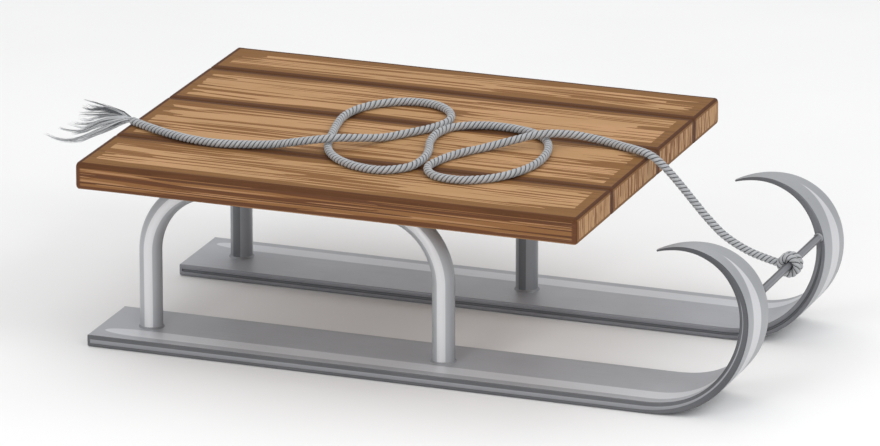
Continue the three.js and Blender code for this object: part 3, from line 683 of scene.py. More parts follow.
for pi, (name, (y0, y1)) in enumerate(SPANS.items()):
    re = 3.8
    rings = []
    body_x = np.linspace(re, DECK_L - re, 66)
    yc, zc = (y0 + y1) / 2, DECK_Z + DECK_T / 2
    free_lo, free_hi = (1.0 if y0 < -230 else 0.06), (1.0 if y1 > 230 else 0.06)

    def ring_at(xpos, inset, scale=1.0):
        """the section pulled in by the rounding of the board's end; at a seam it hardly narrows"""
        sec = plank_section(y0, y1, 0.0)
        fy = (sec[:, 0] - y0) / (y1 - y0)
        lo_, hi_ = y0 + inset * free_lo, y1 - inset * free_hi
        yy = lo_ + fy * (hi_ - lo_)
        zz = zc + (sec[:, 1] - zc) * (DECK_T - 2 * inset) / DECK_T
        if scale != 1.0:
            yy, zz = yc + (yy - yc) * scale, zc + (zz - zc) * scale
        return np.column_stack([np.full(len(sec), xpos), yy, zz])

    quarter = [math.pi / 2 * k / 6 for k in range(6)]
    for sc in (0.25, 0.5, 0.72, 0.88, 0.96):
        rings.append(ring_at(0.0, re, sc))
    for a in quarter:
        rings.append(ring_at(re * (1 - math.cos(a)), re * (1 - math.sin(a))))
    for x in body_x:
        rings.append(ring_at(x, 0.0))
    for a in quarter[::-1]:
        rings.append(ring_at(DECK_L - re * (1 - math.cos(a)), re * (1 - math.sin(a))))
    for sc in (0.96, 0.88, 0.72, 0.5, 0.25):
        rings.append(ring_at(DECK_L, re, sc))
    rings = np.array(rings)
    # hand-planed surface: shallow hollows, always inwards
    X, Y, Z = rings[..., 0], rings[..., 1], rings[..., 2]
    on_top = np.clip((Z - (DECK_Z + 24)) / 6, 0, 1)
    on_bot = np.clip(((DECK_Z + 6) - Z) / 6, 0, 1)
    inside = np.clip(np.minimum(X, DECK_L - X) / 12, 0, 1)
    dip = 0.11 * (1 + np.sin(X * 0.021 + pi * 1.9) * np.cos(Y * 0.05 + pi)) + 0.05 * (1 + np.sin(X * 0.067 + Y * 0.09 + pi))
    rings[..., 2] = Z - on_top * dip * inside + on_bot * dip * inside
    side_dip = 0.16 * (1 + np.sin(X * 0.026 + pi * 2.3)) * inside
    sgn = np.sign(Y - yc)
    side_dip = side_dip * np.where(sgn < 0, 1.0 if y0 < -230 else 0.0, 1.0 if y1 > 230 else 0.0)   # only where no board adjoins
    at_side = np.clip((np.abs(Y - yc) - ((y1 - y0) / 2 - 6)) / 6, 0, 1)
    rings[..., 1] = Y - sgn * at_side * side_dip
    n, m, _ = rings.shape
    v, q, t = tube(row(rings.reshape(-1, 3)).reshape(n, m, 3))
    Piece().add(v, q, t).make("board_" + name.replace("plank_", ""), wood_material(name, y0, y1, pi + 1),
                              "deck_wood", [name], sharp=50)


# ------------------------------------------------------------------ metals
def runner_material():
    g = G("runner_aluminium")
    ac = g.attr("across")       # -1 inner side .. 1 outer side
    hh = g.attr("height")       # 0 sole .. 1 top face
    al = g.attr("along")        # mm from the rear end
    sw = g.attr("side")         # 1 outer side wall, -1 inner side wall, 0 elsewhere
    hb = g.attr("bead")         # 1 on the raised bead of the outer side / in the inner groove
    wd = g.attr("halfw")        # half width of the profile, mm
    acm = g.mul(ac, wd)
    brush = g.noise(g.vec(g.mul(al, 0.012), g.mul(acm, 1.9), g.mul(hh, 22.0)), 1.0, 3.0, 0.6)
    brush2 = g.noise(g.vec(g.mul(al, 0.05), g.mul(acm, 6.0), g.mul(hh, 60.0)), 1.0, 2.0, 0.6)
    cloud = g.noise(g.coord(), 9.0, 3.0, 0.55)
    spots = g.noise(g.coord(), 160.0, 2.0, 0.6)
    top = g.mix(g.step(cloud, 0.3, 0.7), lin("b0b2b7"), lin("b9bbc0"))
    # a raised land runs along the top, nearer the outer edge; its lighter colour is a painted highlight
    lw = g.attr("land")
    land_highlight = g.mul(g.step(g.abs(g.sub(ac, 0.565)), g.add(lw, 0.012), g.sub(lw, 0.012)), g.step(lw, 0.004, 0.02))
    top = g.mix(land_highlight, top, g.mix(g.step(cloud, 0.3, 0.7), lin("d6d8dc"), lin("dcdee2")))
    sole = g.mix(g.step(cloud, 0.3, 0.7), lin("9fa1a4"), lin("a7a9ac"))
    # painted highlight: a bright band along the sole's middle, up the curl
    bh = g.attr("bright")
    bright = g.mul(g.step(g.abs(g.sub(ac, 0.12)), g.add(bh, 0.02), g.sub(bh, 0.02)), g.step(bh, 0.01, 0.05))
    sole = g.mix(bright, sole, lin("d2d2d5"))
    scratch = g.noise(g.vec(g.mul(al, 0.004), g.mul(acm, 4.2), 3.0), 1.0, 2.0, 0.7)
    sole = g.mix(g.step(scratch, 0.62, 0.7, 0.0, 0.2), sole, lin("85878a"))
    # painted shade: the side walls are painted dark, darker still up the curl, with the outer bead left lighter
    side = g.mix(g.step(cloud, 0.3, 0.7), lin("5c5d60"), lin("656669"))
    side = g.mix(g.step(al, 640.0, 730.0), side, g.mix(g.step(cloud, 0.3, 0.7), lin("4a4b4e"), lin("525356")))
    side = g.mix(g.step(g.mul(hb, g.step(sw, 0.2, 0.6)), 0.3, 0.7), side, lin("8c8d91"))
    # inner side wall: painted shade, darker up the curl, its groove painted darker still
    inner_s = g.mix(g.step(al, 600.0, 680.0), lin("808186"), lin("696a6e"))
    inner_g = g.mix(g.step(al, 600.0, 680.0), lin("606266"), lin("505255"))
    side = g.mix(g.step(sw, -0.2, -0.6), side, g.mix(g.step(hb, 0.3, 0.7), inner_s, inner_g))
    col = g.mix(g.step(hh, 0.42, 0.58), sole, top)
    col = g.mix(g.step(g.abs(sw), 0.35, 0.6), col, side)
    col = g.mix(g.step(brush, 0.5, 0.8, 0.0, 0.18), col, lin("707275"))
    col = g.mix(g.step(brush2, 0.55, 0.8, 0.0, 0.12), col, lin("c4c5c7"))
    col = g.mix(g.step(spots, 0.70, 0.8, 0.0, 0.25), col, lin("5e5f61"))
    g.set("Base Color", col)
    g.b.inputs["Metallic"].default_value = 0.35
    g.set("Roughness", g.add(g.ramp(brush, 0.3, 0.7, 0.40, 0.52), g.mul(g.step(spots, 0.66, 0.8), 0.12)))
    g.set("Normal", g.bump(g.add(g.mul(brush, 0.5), g.mul(brush2, 0.5)), 0.14, 0.0004))
    return g.m


def steel_material(name, a, b, dark, rough=(0.3, 0.44), axis="z", metal=0.85, spots_on=0.3, fine=1.0, rub_on=0.3, relief=0.12, highlight_strip=None):
    """satin metal brushed along one axis of the row frame, with faint clouds, specks and rubbed marks"""
    g = G(name)
    x, y, z = g.xyz()
    sc = {"x": (14.0, 900.0, 900.0), "y": (900.0, 14.0, 900.0), "z": (900.0, 900.0, 14.0)}[axis]
    brush = g.noise(g.vec(g.mul(x, sc[0] * fine), g.mul(y, sc[1] * fine), g.mul(z, sc[2] * fine)), 1.0, 3.0, 0.6)
    cloud = g.noise(g.coord(), 14.0, 3.0, 0.55)
    spots = g.noise(g.coord(), 240.0, 2.0, 0.6)
    rub = g.noise(g.coord(), 46.0, 4.0, 0.65)
    col = g.mix(g.step(cloud, 0.3, 0.7), lin(a), lin(b))
    # an optional painted highlight strip along one side, from a point attribute
    if highlight_strip:
        col = g.mix(g.step(g.attr("highlight_cos"), 0.75, 0.79), col, lin(highlight_strip))
    col = g.mix(g.step(brush, 0.5, 0.8, 0.0, 0.25), col, lin(dark))
    col = g.mix(g.step(spots, 0.66, 0.78, 0.0, spots_on), col, lin(dark))
    col = g.mix(g.step(rub, 0.66, 0.76, 0.0, rub_on), col, lin("dcdcde"))
    g.set("Base Color", col)
    g.b.inputs["Metallic"].default_value = metal
    g.set("Roughness", g.add(g.ramp(brush, 0.3, 0.7, rough[0], rough[1]), g.mul(g.step(rub, 0.6, 0.76), 0.08)))
    g.set("Normal", g.bump(g.add(g.mul(brush, 0.5), g.mul(rub, 0.4)), relief, 0.0004))
    return g.m


def tube_material():
    """satin tube: a painted highlight line along its outward side, a painted shade line along the inward side"""
    g = G("tube_satin")
    out = g.attr("outward")       # 1 where the tube faces out from the sledge .. -1 where it faces in
    pol = g.attr("highlight_cos")        # 1 on the middle of the painted highlight line .. -1 opposite, on the painted shade line
    al = g.attr("along")
    cloud = g.noise(g.coord(), 11.0, 2.0, 0.5)
    draw = g.noise(g.vec(g.mul(al, 0.010), g.mul(out, 9.0), g.mul(pol, 9.0)), 1.0, 3.0, 0.6)
    spots = g.noise(g.coord(), 260.0, 2.0, 0.6)
    body = g.mix(g.step(cloud, 0.3, 0.7), lin("a6a8ab"), lin("adafb2"))
    # painted shade: the inward half is painted darker than the outward half
    inward = g.mix(g.step(cloud, 0.3, 0.7), lin("8d8f93"), lin("94969a"))
    col = g.mix(g.step(out, -0.10, 0.10), inward, body)
    # painted highlight line, then the painted shade line opposite it
    col = g.mix(g.step(pol, 0.915, 0.930), col, lin("d5d5d7"))
    col = g.mix(g.step(pol, -0.925, -0.940), col, lin("66686b"))
    col = g.mix(g.step(draw, 0.5, 0.8, 0.0, 0.12), col, lin("8f9194"))
    col = g.mix(g.step(spots, 0.68, 0.78, 0.0, 0.10), col, lin("77797c"))
    g.set("Base Color", col)
    g.b.inputs["Metallic"].default_value = 0.30
    g.set("Roughness", g.ramp(draw, 0.3, 0.7, 0.34, 0.40))
    g.set("Normal", g.bump(draw, 0.05, 0.0003))
    return g.m


TUBE_MAT = tube_material()
# the bar carries a painted highlight strip along its upper front side
BAR_MAT = steel_material("bar_satin", "58595c", "606165", "4c4d50", (0.34, 0.44), "y", 0.5, 0.25, highlight_strip="86878c")
STRAP_MAT = steel_material("strap_rolled", "7d7f83", "8b8d91", "4d4e51", (0.40, 0.56), "y", 0.85, 0.5, 0.4)
SCREW_MAT = steel_material("screw_zinc_plate", "a7a69c", "b7b5a6", "6c6a61", (0.26, 0.42), "z", 0.9, 0.3, 2.0)
WELD_MAT = steel_material("weld_bead", "8b8d91", "96989b", "606265", (0.42, 0.56), "z", 0.5, 0.4, 0.5)
RUNNER_MAT = runner_material()

# ------------------------------------------------------------------ runners
GAUGE, HALF_W, T0 = 264.0, 53.0, 14.0
RUNNER_X0, CURL_X0, CURL_LEN = -10.0, 618.0, 337.4
CURL_S = [0, 0.0625, 0.15625, 0.25, 0.375, 0.5, 0.625, 0.75, 0.875, 1]
CURL_K = [0, 0.00561, 0.01008, 0.011, 0.00945, 0.01014, 0.01336, 0.01472, 0.01238, 0.00885]
CURL_HALF_W = [[0, 53], [20, 53], [45, 52], [72, 50], [92, 47.5], [117, 44.5], [148, 40], [177, 35.3],
               [202, 31.5], [227, 27.5], [250, 23], [274, 18], [294, 13], [315, 8], [337.4, 2.6]]
CURL_T = [[0, 14], [40, 13.8], [90, 12.8], [150, 11.2], [177, 10.4], [235, 8.3], [294, 5.2], [320, 3.5], [337.4, 1.8]]


def smooth_table(table):
    """monotone cubic through the table's points"""
    xs = np.array([p[0] for p in table], float)
    ys = np.array([p[1] for p in table], float)
    h = np.diff(xs)
    d = np.diff(ys) / h
    m = np.zeros(len(xs))
    m[0], m[-1] = d[0], d[-1]
    for i in range(1, len(xs) - 1):
        m[i] = 0.0 if d[i - 1] * d[i] <= 0 else 2 * d[i - 1] * d[i] / (d[i - 1] + d[i])

    def f(x):
        i = int(np.clip(np.searchsorted(xs, x) - 1, 0, len(h) - 1))
        t = (x - xs[i]) / h[i]
        return ((2 * t ** 3 - 3 * t ** 2 + 1) * ys[i] + (t ** 3 - 2 * t ** 2 + t) * h[i] * m[i]
                + (-2 * t ** 3 + 3 * t ** 2) * ys[i + 1] + (t ** 3 - t ** 2) * h[i] * m[i + 1])
    return f


HALF_AT, THICK_AT = smooth_table(CURL_HALF_W), smooth_table(CURL_T)


def curl_line():
    n = 1200
    x, z, th = CURL_X0, 0.0, 0.0
    out = [(0.0, x, z, th)]
    ks = lambda s: float(np.interp(s, [f * CURL_LEN for f in CURL_S], CURL_K))
    for i in range(1, n + 1):
        s0, s1 = CURL_LEN * (i - 1) / n, CURL_LEN * i / n
        th1 = th + (ks(s0) + ks(s1)) / 2 * (s1 - s0)
        x += (math.cos(th) + math.cos(th1)) / 2 * (s1 - s0)
        z += (math.sin(th) + math.sin(th1)) / 2 * (s1 - s0)
        th = th1
        out.append((s1, x, z, th))
    return out


CURL = curl_line()
stations = [(RUNNER_X0 + d, RUNNER_X0 + d, 0.0, 0.0) for d in (0.0, 0.35, 0.9, 2.0, 3.1, 3.8, 5.0, 7.5, 11, 14, 17, 20, 24, 28, 33)]
stations += [(x, x, 0.0, 0.0) for x in np.arange(29.0, CURL_X0 - 2, 9.0)]
stations += [(CURL_X0 + s, x, z, th) for s, x, z, th in CURL[::8]]


def sm(x, lo, hi):
    t = min(1.0, max(0.0, (x - lo) / (hi - lo)))
    return t * t * (3 - 2 * t)


def runner_section(hw, t, al, tip):
    """points (across mm, height mm, across fraction, top?, side, bead, land, bright) round the profile"""
    k = t / T0
    det = sm(al, RUNNER_X0 + 3.2, RUNNER_X0 + 3.7) * (1 - sm(al, 800.0, 850.0))     # the side lines start past the rear end and die before the tip
    pts = []
    # sole, slightly crowned, from the inner side to the outer side
    # b_half: half width of the painted highlight band on the sole of the curl
    b_half = 0.36 * sm(al, 655.0, 760.0) * (1 - sm(al, 800.0, 893.0)) + 0.0
    for a in (-0.955, -0.88, -0.78, -0.66, -0.56, -0.46, -0.36, -0.26, -0.16, -0.08, 0.0, 0.08, 0.16, 0.26, 0.36, 0.46, 0.56, 0.66, 0.78, 0.88, 0.955):
        h = 0.03 * t * (abs(a) / 0.955) ** 4
        pts.append((a * hw, h, a, 0.0, 0.0, 0.0, 0.0))
    # outer lower corner, only just broken
    for fa, fh in ((0.978, 0.055), (0.994, 0.115)):
        pts.append((fa * hw, fh * t, 1.0, 0.0, 1.0, 0.0, 0.0))
    # outer side wall with its bead, which narrows to nothing up the curl
    nar = sm(al, 610.0, 720.0)
    lo_h, hi_h = 0.318 + 0.26 * nar, 0.632 + 0.10 * nar - 0.07 * sm(al, 720.0, 810.0)
    for h, dlt, bead in ((0.17, 0.3, 0), (lo_h - 0.02, 0.3, 0), (lo_h - 0.006, 0.3, 0), (lo_h + 0.006, 0.1, 1), (lo_h + 0.02, 0.0, 1),
                         (lo_h * 0.7 + hi_h * 0.3, 0.0, 1), (lo_h * 0.5 + hi_h * 0.5, 0.0, 1), (lo_h * 0.3 + hi_h * 0.7, 0.0, 1), (hi_h - 0.02, 0.0, 1),
                         (hi_h - 0.006, 0.1, 1), (hi_h + 0.006, 0.3, 0), (hi_h + 0.02, 0.3, 0), (0.82, 0.3, 0), (0.89, 0.3, 0), (0.915, 0.1, 0)):
        pts.append((hw - dlt * k * det, h * t, 1.0, h, 1.0, bead * det, 0.0))
    pts.append((hw - 0.35 * k, 0.965 * t, 0.99, 1.0, 1.0, 0.0, 0.0))
    # top face with its land nearer the outer edge; it starts as a point near the rear end
    low = 0.45 * k
    grow = math.sqrt(1 - (1 - min(1.0, max(0.0, (al - 2.0) / 42.0))) ** 2) * (1 - 0.75 * sm(al, 640.0, 900.0))
    c0, w0 = 0.565, 0.205 * grow
    prof = [0.975, 0.94]
    prof += [c0 + w0 + 0.05, c0 + w0, c0 + w0 * 0.5, c0, c0 - w0 * 0.5, c0 - w0, c0 - w0 - 0.05]
    prof += [0.27, 0.18, 0.09, 0.0, -0.12, -0.26, -0.4, -0.54, -0.68, -0.8, -0.9, -0.945, -0.975]
    for a in prof:
        on = 1.0 if abs(a - c0) <= w0 + 1e-6 and grow > 0.02 else 0.0
        drop = 0.0 if (on or abs(a) > 0.97) else low
        if abs(a) > 0.97:
            drop = 0.1 * k
        pts.append((a * hw, t - drop, a, 1.0, 0.0, 0.0, on))
    pts.append((-hw + 0.35 * k, 0.965 * t, -0.99, 1.0, -1.0, 0.0, 0.0))
    # inner side wall with its groove
    for h, dlt, gr in ((0.90, 0, 0), (0.72, 0, 0), (0.63, 0, 0), (0.60, 0.5, 0.6), (0.565, 1.3, 1), (0.50, 1.6, 1), (0.435, 1.3, 1), (0.40, 0.5, 0.6), (0.37, 0, 0),
                       (0.31, 0, 0), (0.20, 0, 0)):
        det_in = sm(al, RUNNER_X0 + 3.2, RUNNER_X0 + 3.7) * (1 - sm(al, 770.0, 830.0))
        pts.append((-hw + dlt * k * det_in, h * t, -1.0, h, -1.0, gr * det_in, 0.0))
    for fa, fh in ((0.994, 0.115), (0.978, 0.055)):
        pts.append((-fa * hw, fh * t, -1.0, 0.0, -1.0, 0.0, 0.0))
    return [(am, hm, af, tp, sd, bd, w0, b_half) for (am, hm, af, tp, sd, bd, ld) in pts]


SECTION_N = None
for name, side in (("runner_right", -1), ("runner_left", 1)):
    yc = side * GAUGE / 2
    rings, attrs = [], {k: [] for k in ("across", "height", "side", "bead", "land", "bright", "along", "halfw")}
    for al, x, z, th in stations:
        hw = HALF_W if al <= CURL_X0 else HALF_AT(al - CURL_X0)
        t = T0 if al <= CURL_X0 else THICK_AT(al - CURL_X0)
        sec = runner_section(hw, t, al, False)
        d_end = al - RUNNER_X0
        inset = 0.9 - math.sqrt(max(0.0, 0.81 - (0.9 - min(d_end, 0.9)) ** 2)) if d_end < 0.9 else 0.0
        ring = []
        for am, hm, af, tp, sd, bd, ld, br in sec:
            # small rounding at the sawn rear end
            am2 = math.copysign(max(abs(am) - inset, 0.0), am)
            hm2 = hm + (inset if hm < t * 0.5 else -inset) * (1.0 if abs(hm / t - 0.5) > 0.3 else 0.0)
            ring.append((x - math.sin(th) * hm2, yc + side * am2, z + math.cos(th) * hm2))
            attrs["across"].append(af)
            attrs["height"].append(tp)
            attrs["side"].append(sd)
            attrs["bead"].append(bd)
            attrs["land"].append(ld)
            attrs["bright"].append(br)
            attrs["along"].append(al)
            attrs["halfw"].append(hw)
        rings.append(ring)
    rings = np.array(rings)
    n, m, _ = rings.shape
    v, q, t = tube(row(rings.reshape(-1, 3)).reshape(n, m, 3))
    for k in attrs:
        attrs[k] += {"across": [0, 0], "height": [0.5, 0.5], "side": [1, 1], "bead": [0, 0], "land": [0, 0],
                     "bright": [0, 0], "along": [RUNNER_X0, CURL_X0 + CURL_LEN], "halfw": [53, 3]}[k]
    Piece().add(v, q, t, **{k: np.array(a, float) for k, a in attrs.items()}).make(
        "profile_" + name, RUNNER_MAT, "runner_metal", [name], sharp=38)

# ------------------------------------------------------------------ support tubes and their welds
TUBE_R, WALL = 12.5, 2.0
ARCH_X0, ARCH_X1, BEND, ARCH_TOP = 44.0, 383.0, 79.0, 179.5
FOOT_Z = 13.7


def arch_line():
    zb = ARCH_TOP - BEND
    pts = [(ARCH_X0, z) for z in np.linspace(FOOT_Z, zb, 14)[:-1]]
    pts += [(ARCH_X0 + BEND - BEND * math.cos(a), zb + BEND * math.sin(a)) for a in np.linspace(0, math.pi / 2, 33)]
    pts += [(x, ARCH_TOP) for x in np.linspace(ARCH_X0 + BEND, ARCH_X1 - BEND, 18)[1:-1]]
    pts += [(ARCH_X1 - BEND + BEND * math.sin(a), zb + BEND * math.cos(a)) for a in np.linspace(0, math.pi / 2, 33)]
    pts += [(ARCH_X1, z) for z in np.linspace(zb, FOOT_Z, 14)[1:]]
    return np.array(pts)


def sweep_xz(pts, y, radius, sides, squash=None):
    d = np.gradient(pts, axis=0)
    d /= np.linalg.norm(d, axis=1)[:, None]
    nrm = np.column_stack([-d[:, 1], d[:, 0]])
    ang = np.arange(sides) * 2 * math.pi / sides
    rings = np.zeros((len(pts), sides, 3))
    f = np.ones(len(pts)) if squash is None else squash
    rings[..., 0] = pts[:, None, 0] + nrm[:, None, 0] * (radius * np.cos(ang))[None, :] * f[:, None]
    rings[..., 1] = y + (radius * np.sin(ang))[None, :]
    rings[..., 2] = pts[:, None, 1] + nrm[:, None, 1] * (radius * np.cos(ang))[None, :] * f[:, None]
    return rings


A_LINE = arch_line()
# a bent tube is drawn a little oval in its bends
bend_on = np.array([sm(min(abs(p[0] - ARCH_X0), abs(p[0] - ARCH_X1)), 4, 24) * (1 - sm(p[1], ARCH_TOP - 12, ARCH_TOP - 1)) for p in A_LINE])
OVAL = 1 - 0.035 * bend_on
for name, side in (("arch_tube_right", -1), ("arch_tube_left", 1)):
    y = side * GAUGE / 2
    outer = sweep_xz(A_LINE, y, TUBE_R, 44, OVAL)
    inner = sweep_xz(A_LINE, y, TUBE_R - WALL, 44, OVAL)[::-1]
    rings = np.vstack([outer, inner])
    n, m, _ = rings.shape
    v, q, t = tube(row(rings.reshape(-1, 3)).reshape(n, m, 3), wrap_i=True)
    # angle round the tube from the outward direction; the painted highlight line lies a little towards the front on
    # both legs
    ang = np.arange(m) * 2 * math.pi / m
    from_out = (ang - side * math.pi / 2)
    cos_out = np.cos(from_out)
    run = np.concatenate([[0], np.cumsum(np.linalg.norm(np.diff(A_LINE, axis=0), axis=1))])
    lean = math.radians(7.0) * np.cos(math.pi * run / run[-1]) * side
    pol = np.cos(from_out[None, :] - lean[:, None])
    outward = np.vstack([np.tile(cos_out, (len(A_LINE), 1))] * 2)
    highlight_cos = np.vstack([pol, pol[::-1]])
    length = np.concatenate([run, run[::-1]])
    Piece().add(v, q, t, outward=outward.ravel(), highlight_cos=highlight_cos.ravel(), along=np.repeat(length, m)).make("bent_" + name, TUBE_MAT, "tube_metal", [name], sharp=45)


def bead_ring(place, r_in, width, height, ripples, seed, sides=132, frame_axes=None):
    """a weld bead round a tube: place(angle, radius, height) -> point"""
    rnd = random.Random(seed)
    ph = [rnd.uniform(0, 6.28) for _ in range(4)]
    prof = []
    k = 11
    rings = []
    for j in range(sides):
        a = 2 * math.pi * j / sides
        rip = (0.5 + 0.5 * math.cos(ripples * a + 0.5 * math.sin(3 * a + ph[0]))) ** 0.6
        w = width * (0.86 + 0.09 * math.sin(2 * a + ph[1]) * 0.5 + 0.10 * rip)
        h = height * (0.84 + 0.05 * math.sin(3 * a + ph[2]) + 0.11 * rip)
        ring = [(r_in - 0.25, 0.0), (r_in + w, 0.0)]
        for i in range(1, k):
            t = i / k
            # slightly convex fillet with the ripples' lips
            rr = r_in + w * (1 - t) ** 1.25 * (1 + 0.22 * math.sin(math.pi * t))
            hh = h * t ** 1.1
            ring.append((rr, hh))
        ring.append((r_in - 0.25, h))
        rings.append([place(a, r, hz) for r, hz in ring])
    rings = np.array(rings)
    n, m, _ = rings.shape
    return tube(row(rings.reshape(-1, 3)).reshape(n, m, 3), wrap_i=True)


wi = 0
for sname, side in (("right", -1), ("left", 1)):
    for foot, fx in (("rear", ARCH_X0), ("front", ARCH_X1)):
        y = side * GAUGE / 2
        v, q, t = bead_ring(lambda a, r, h: (fx + r * math.cos(a), y + r * math.sin(a), 13.4 + h),
                            TUBE_R + 0.05, 1.9, 2.6, 34, 11 + wi)
        Piece().add(v, q, t).make(f"bead_foot_{sname}_{foot}", WELD_MAT, "weld_metal", [f"foot_weld_{sname}_{foot}"], sharp=50)
        wi += 1

# ------------------------------------------------------------------ tow bar
lo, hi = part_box("tow_bar")
BAR_HALF = hi.y * 1000.0
rows_ = []
for yy, rr in [(-BAR_HALF, 2.2), (-BAR_HALF, 3.9), (-BAR_HALF + 0.35, BAR_R)] + \
        [(t, BAR_R) for t in np.linspace(-BAR_HALF + 3, BAR_HALF - 3, 40)] + \
        [(BAR_HALF - 0.35, BAR_R), (BAR_HALF, 3.9), (BAR_HALF, 2.2)]:
    ang = np.arange(36) * 2 * math.pi / 36
    wob = 1.0 - 0.006 * (0.5 + 0.5 * math.sin(yy * 0.11))
    rows_.append(np.column_stack([BAR_X + rr * wob * np.cos(ang), np.full(36, yy), BAR_Z + rr * wob * np.sin(ang)]))
rings = np.array(rows_)
n, m, _ = rings.shape
v, q, t = tube(row(rings.reshape(-1, 3)).reshape(n, m, 3))
# the painted highlight strip centres 42 degrees round from the front
bar_highlight_cos = np.concatenate([np.tile(np.cos(ang - math.radians(42.0)), n), [0.0, 0.0]])
Piece().add(v, q, t, highlight_cos=bar_highlight_cos).make("bar_round", BAR_MAT, "bar_steel", ["tow_bar"], sharp=40)
for sname, side in (("right", -1), ("left", 1)):
    v, q, t = bead_ring(lambda a, r, h: (BAR_X + r * math.cos(a), side * (BAR_HALF + 0.25 - h), BAR_Z + r * math.sin(a)),
                        BAR_R, 1.2, 2.2, 14, 40 + side, sides=84)
    Piece().add(v, q, t).make(f"bead_bar_{sname}", WELD_MAT, "weld_metal", [f"bar_weld_{sname}"], sharp=50)

# ------------------------------------------------------------------ straps: the CAD plates, edges broken
STRAP_X = [45, 150, 277, 505]
STRAP_NAMES = ["rear", "mid_rear", "mid_front", "front"]
for s in STRAP_NAMES:
    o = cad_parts["strap_" + s]
    o.data.materials.clear()
    o.data.materials.append(STRAP_MAT)
    bev = o.modifiers.new("edge", "BEVEL")
    bev.width = 0.0005
    bev.segments = 2
    bev.limit_method = "ANGLE"
    bev.angle_limit = math.radians(40)

# ------------------------------------------------------------------ screws
STRAP_BOTTOM = 192.25
SCREW_Y = [-180, -92, -5, 58, 108, 193]


def cross_outline(arm, half, n=24):
    """24 points round a cross"""
    pts = []
    for qd in range(4):
        a = qd * math.pi / 2
        loc = [(half, half), (arm * 0.55, half), (arm, half), (arm, 0.0), (arm, -half), (arm * 0.55, -half)]
        loc = [(half, -half), (arm * 0.55, -half), (arm, -half), (arm, 0.0), (arm, half), (arm * 0.55, half)]
        for x, y in loc:
            pts.append((x * math.cos(a) - y * math.sin(a), x * math.sin(a) + y * math.cos(a)))
    return np.array(pts)


def screw(head, top_z, length, head_r, shank_r, countersunk=False):
    """rings of 24 points; head is the height below (pan) or above (countersunk) the seat"""
    out = cross_outline(head_r * 0.52, head_r * 0.13)
    ang = np.arctan2(out[:, 1], out[:, 0])
    circ = lambda r: np.column_stack([np.cos(ang) * r, np.sin(ang) * r])
    # even angles for the round part
    even = np.linspace(ang[0], ang[0] + 2 * math.pi, 24, endpoint=False)
    roundc = lambda r: np.column_stack([np.cos(even) * r, np.sin(even) * r])
    rings = []
    s = -1.0
    if not countersunk:
        hz = top_z - head
        dome = [(0.62, 0.0), (0.74, 0.05), (0.86, 0.2), (0.95, 0.45), (1.0, 0.78), (1.0, 0.95), (0.97, 1.0)]
        rings.append((out * 0.62, hz + 0.55 * head))
        rings.append((out * 0.9, hz + 0.5 * head))
        rings.append((out, hz + 0.02))
        for f, h in dome:
            rings.append((roundc(head_r * f), hz + h * head))
        z = top_z
        rings.append((roundc(shank_r * 1.05), z))
        n_th = int((length - 3.5) / 0.42)
        zs = z + 0.2 + np.arange(n_th) * 0.42
        for zz in zs:
            ph = (even / (2 * math.pi) - (zz - z) / 1.8) % 1.0
            f = np.where((zz - z) < 2.6, 0.0, np.abs(ph - 0.5) * 2)
            fade = min(1.0, (z + length - zz) / 6.0)
            core = shank_r * (0.80 if (zz - z) >= 2.6 else 0.95) * (0.35 + 0.65 * fade)
            r = core + (shank_r * 0.2) * np.clip(1 - f * 2.4, 0, 1) * (1 if (zz - z) >= 2.6 else 0)
            rings.append((np.column_stack([np.cos(even) * r, np.sin(even) * r]), zz))
        rings.append((roundc(0.25), z + length))
    else:
        z = top_z
        rings.append((out * 0.62, z - 0.45 * head))
        rings.append((out * 0.9, z - 0.4 * head))
        rings.append((out, z - 0.02))
        for f, h in ((0.62, 0.0), (0.9, 0.0), (1.0, -0.06)):
            rings.append((roundc(head_r * f), z + h))
        rings.append((roundc(shank_r), z - 2.0))
        for k in range(24):
            zz = z - 2.3 - k * 0.42
            ph = (even / (2 * math.pi) + (z - zz) / 1.0) % 1.0
            r = shank_r * 0.84 + shank_r * 0.16 * np.clip(1 - np.abs(ph - 0.5) * 4, 0, 1)
            rings.append((np.column_stack([np.cos(even) * r, np.sin(even) * r]), zz))
        rings.append((roundc(0.6), z - length))
    return np.array([np.column_stack([c, np.full(24, h)]) for c, h in rings])


pan = screw(2.4, STRAP_BOTTOM - 0.2, 22.0, 4.4, 2.2)
flat = screw(2.0, STRAP_BOTTOM + 2.35, 14.8, 4.5, 2.2, countersunk=True)


def place_screw(rings, x, y, turn, name, node):
    c, s = math.cos(turn), math.sin(turn)
    p = rings.copy()
    p[..., 0], p[..., 1] = rings[..., 0] * c - rings[..., 1] * s + x, rings[..., 0] * s + rings[..., 1] * c + y
    n, m, _ = p.shape
    v, q, t = tube(row(p.reshape(-1, 3)).reshape(n, m, 3))
    return Piece().add(v, q, t).make(name, SCREW_MAT, "screw_zinc", [node], sharp=35)


rs = random.Random(3)
for si, sx in enumerate(STRAP_X):
    for k, sy in enumerate(SCREW_Y):
        place_screw(pan, sx, sy, rs.uniform(0, 1.57), f"screw_{STRAP_NAMES[si]}_{k + 1}", f"wood_screw_{STRAP_NAMES[si]}_{k + 1}")
for sname, side in (("right", -1), ("left", 1)):
    for foot, fx in (("rear", 150), ("front", 277)):
        place_screw(flat, fx, side * GAUGE / 2, rs.uniform(0, 1.57), f"countersunk_{sname}_{foot}", f"crown_screw_{sname}_{foot}")


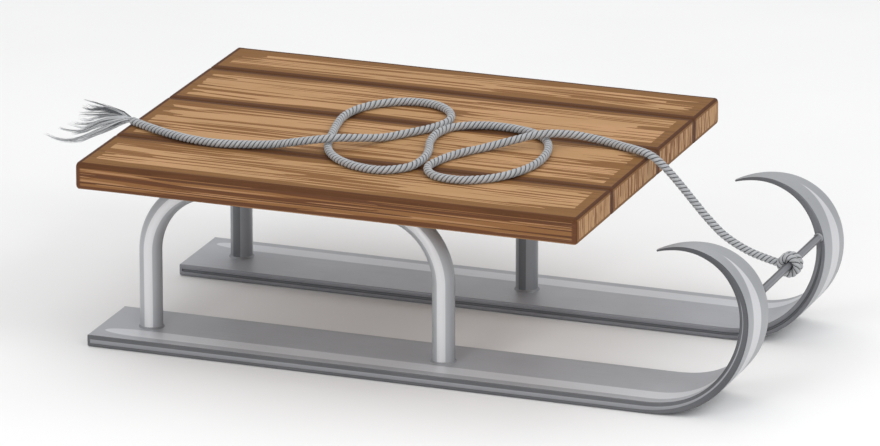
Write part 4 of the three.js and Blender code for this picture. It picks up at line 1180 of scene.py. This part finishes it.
# ------------------------------------------------------------------ floor, world and lights
def floor():
    g = G("floor_pale")
    n = g.noise(g.coord(), 3.0, 3.0, 0.5)
    g.set("Base Color", g.mix(g.step(n, 0.3, 0.7), lin("f2f2f2"), lin("f4f4f4")))
    g.b.inputs["Roughness"].default_value = 0.9
    g.b.inputs["Specular IOR Level"].default_value = 0.1
    # a one-sided floor, so that the object can be looked at from below
    geo = g.new("ShaderNodeNewGeometry")
    tr = g.new("ShaderNodeBsdfTransparent")
    mx = g.new("ShaderNodeMixShader")
    g.nt.links.new(geo.outputs["Backfacing"], mx.inputs[0])
    g.nt.links.new(g.b.outputs[0], mx.inputs[1])
    g.nt.links.new(tr.outputs[0], mx.inputs[2])
    g.nt.links.new(mx.outputs[0], g.out.inputs[0])
    k = 24
    me = bpy.data.meshes.new("floor")
    vs = [(0.0, 0.0, 0.0)]
    for r in (1.0, 3.0, 8.0, 30.0):
        vs += [(r * math.cos(2 * math.pi * i / k), r * math.sin(2 * math.pi * i / k), 0.0) for i in range(k)]
    fs = [(0, 1 + i, 1 + (i + 1) % k) for i in range(k)]
    for rr in range(3):
        o = 1 + rr * k
        fs += [(o + i, o + k + i, o + k + (i + 1) % k, o + (i + 1) % k) for i in range(k)]
    me.from_pydata(vs, [], fs)
    me.materials.append(g.m)
    ob = bpy.data.objects.new("floor", me)
    SCENE.collection.objects.link(ob)


floor()

world = bpy.data.worlds.new("studio")
SCENE.world = world
world.use_nodes = True
wn = world.node_tree
wn.nodes.clear()
wout = wn.nodes.new("ShaderNodeOutputWorld")
bg = wn.nodes.new("ShaderNodeBackground")
tc = wn.nodes.new("ShaderNodeTexCoord")
sx = wn.nodes.new("ShaderNodeSeparateXYZ")
cr = wn.nodes.new("ShaderNodeValToRGB")
wn.links.new(tc.outputs["Generated"], sx.inputs[0])
wn.links.new(sx.outputs[2], cr.inputs[0])
els = cr.color_ramp.elements
els[0].position, els[0].color = 0.0, (0.72, 0.73, 0.745, 1)
els[1].position, els[1].color = 1.0, (1.0, 1.0, 1.0, 1)
e = els.new(0.35)
e.color = (0.82, 0.825, 0.835, 1)
wn.links.new(cr.outputs[0], bg.inputs[0])
bg.inputs[1].default_value = 0.86
wn.links.new(bg.outputs[0], wout.inputs[0])


def area(name, loc, size, energy, at=(0.0, 0.0, 0.1), tint=(1, 1, 1)):
    d = bpy.data.lights.new(name, "AREA")
    d.shape = "RECTANGLE"
    d.size, d.size_y = size
    d.energy = energy
    d.color = tint
    o = bpy.data.objects.new(name, d)
    SCENE.collection.objects.link(o)
    o.location = loc
    o.visible_camera = False
    o.rotation_mode = "QUATERNION"
    o.rotation_quaternion = (Vector(at) - Vector(loc)).to_track_quat("-Z", "Y")
    return o


area("key", (2.6, -0.9, 2.6), (1.6, 1.6), 34)
area("fill", (-0.40, -3.0, 1.25), (1.15, 2.4), 29)
area("top", (-0.3, 0.8, 2.9), (2.4, 2.0), 12)
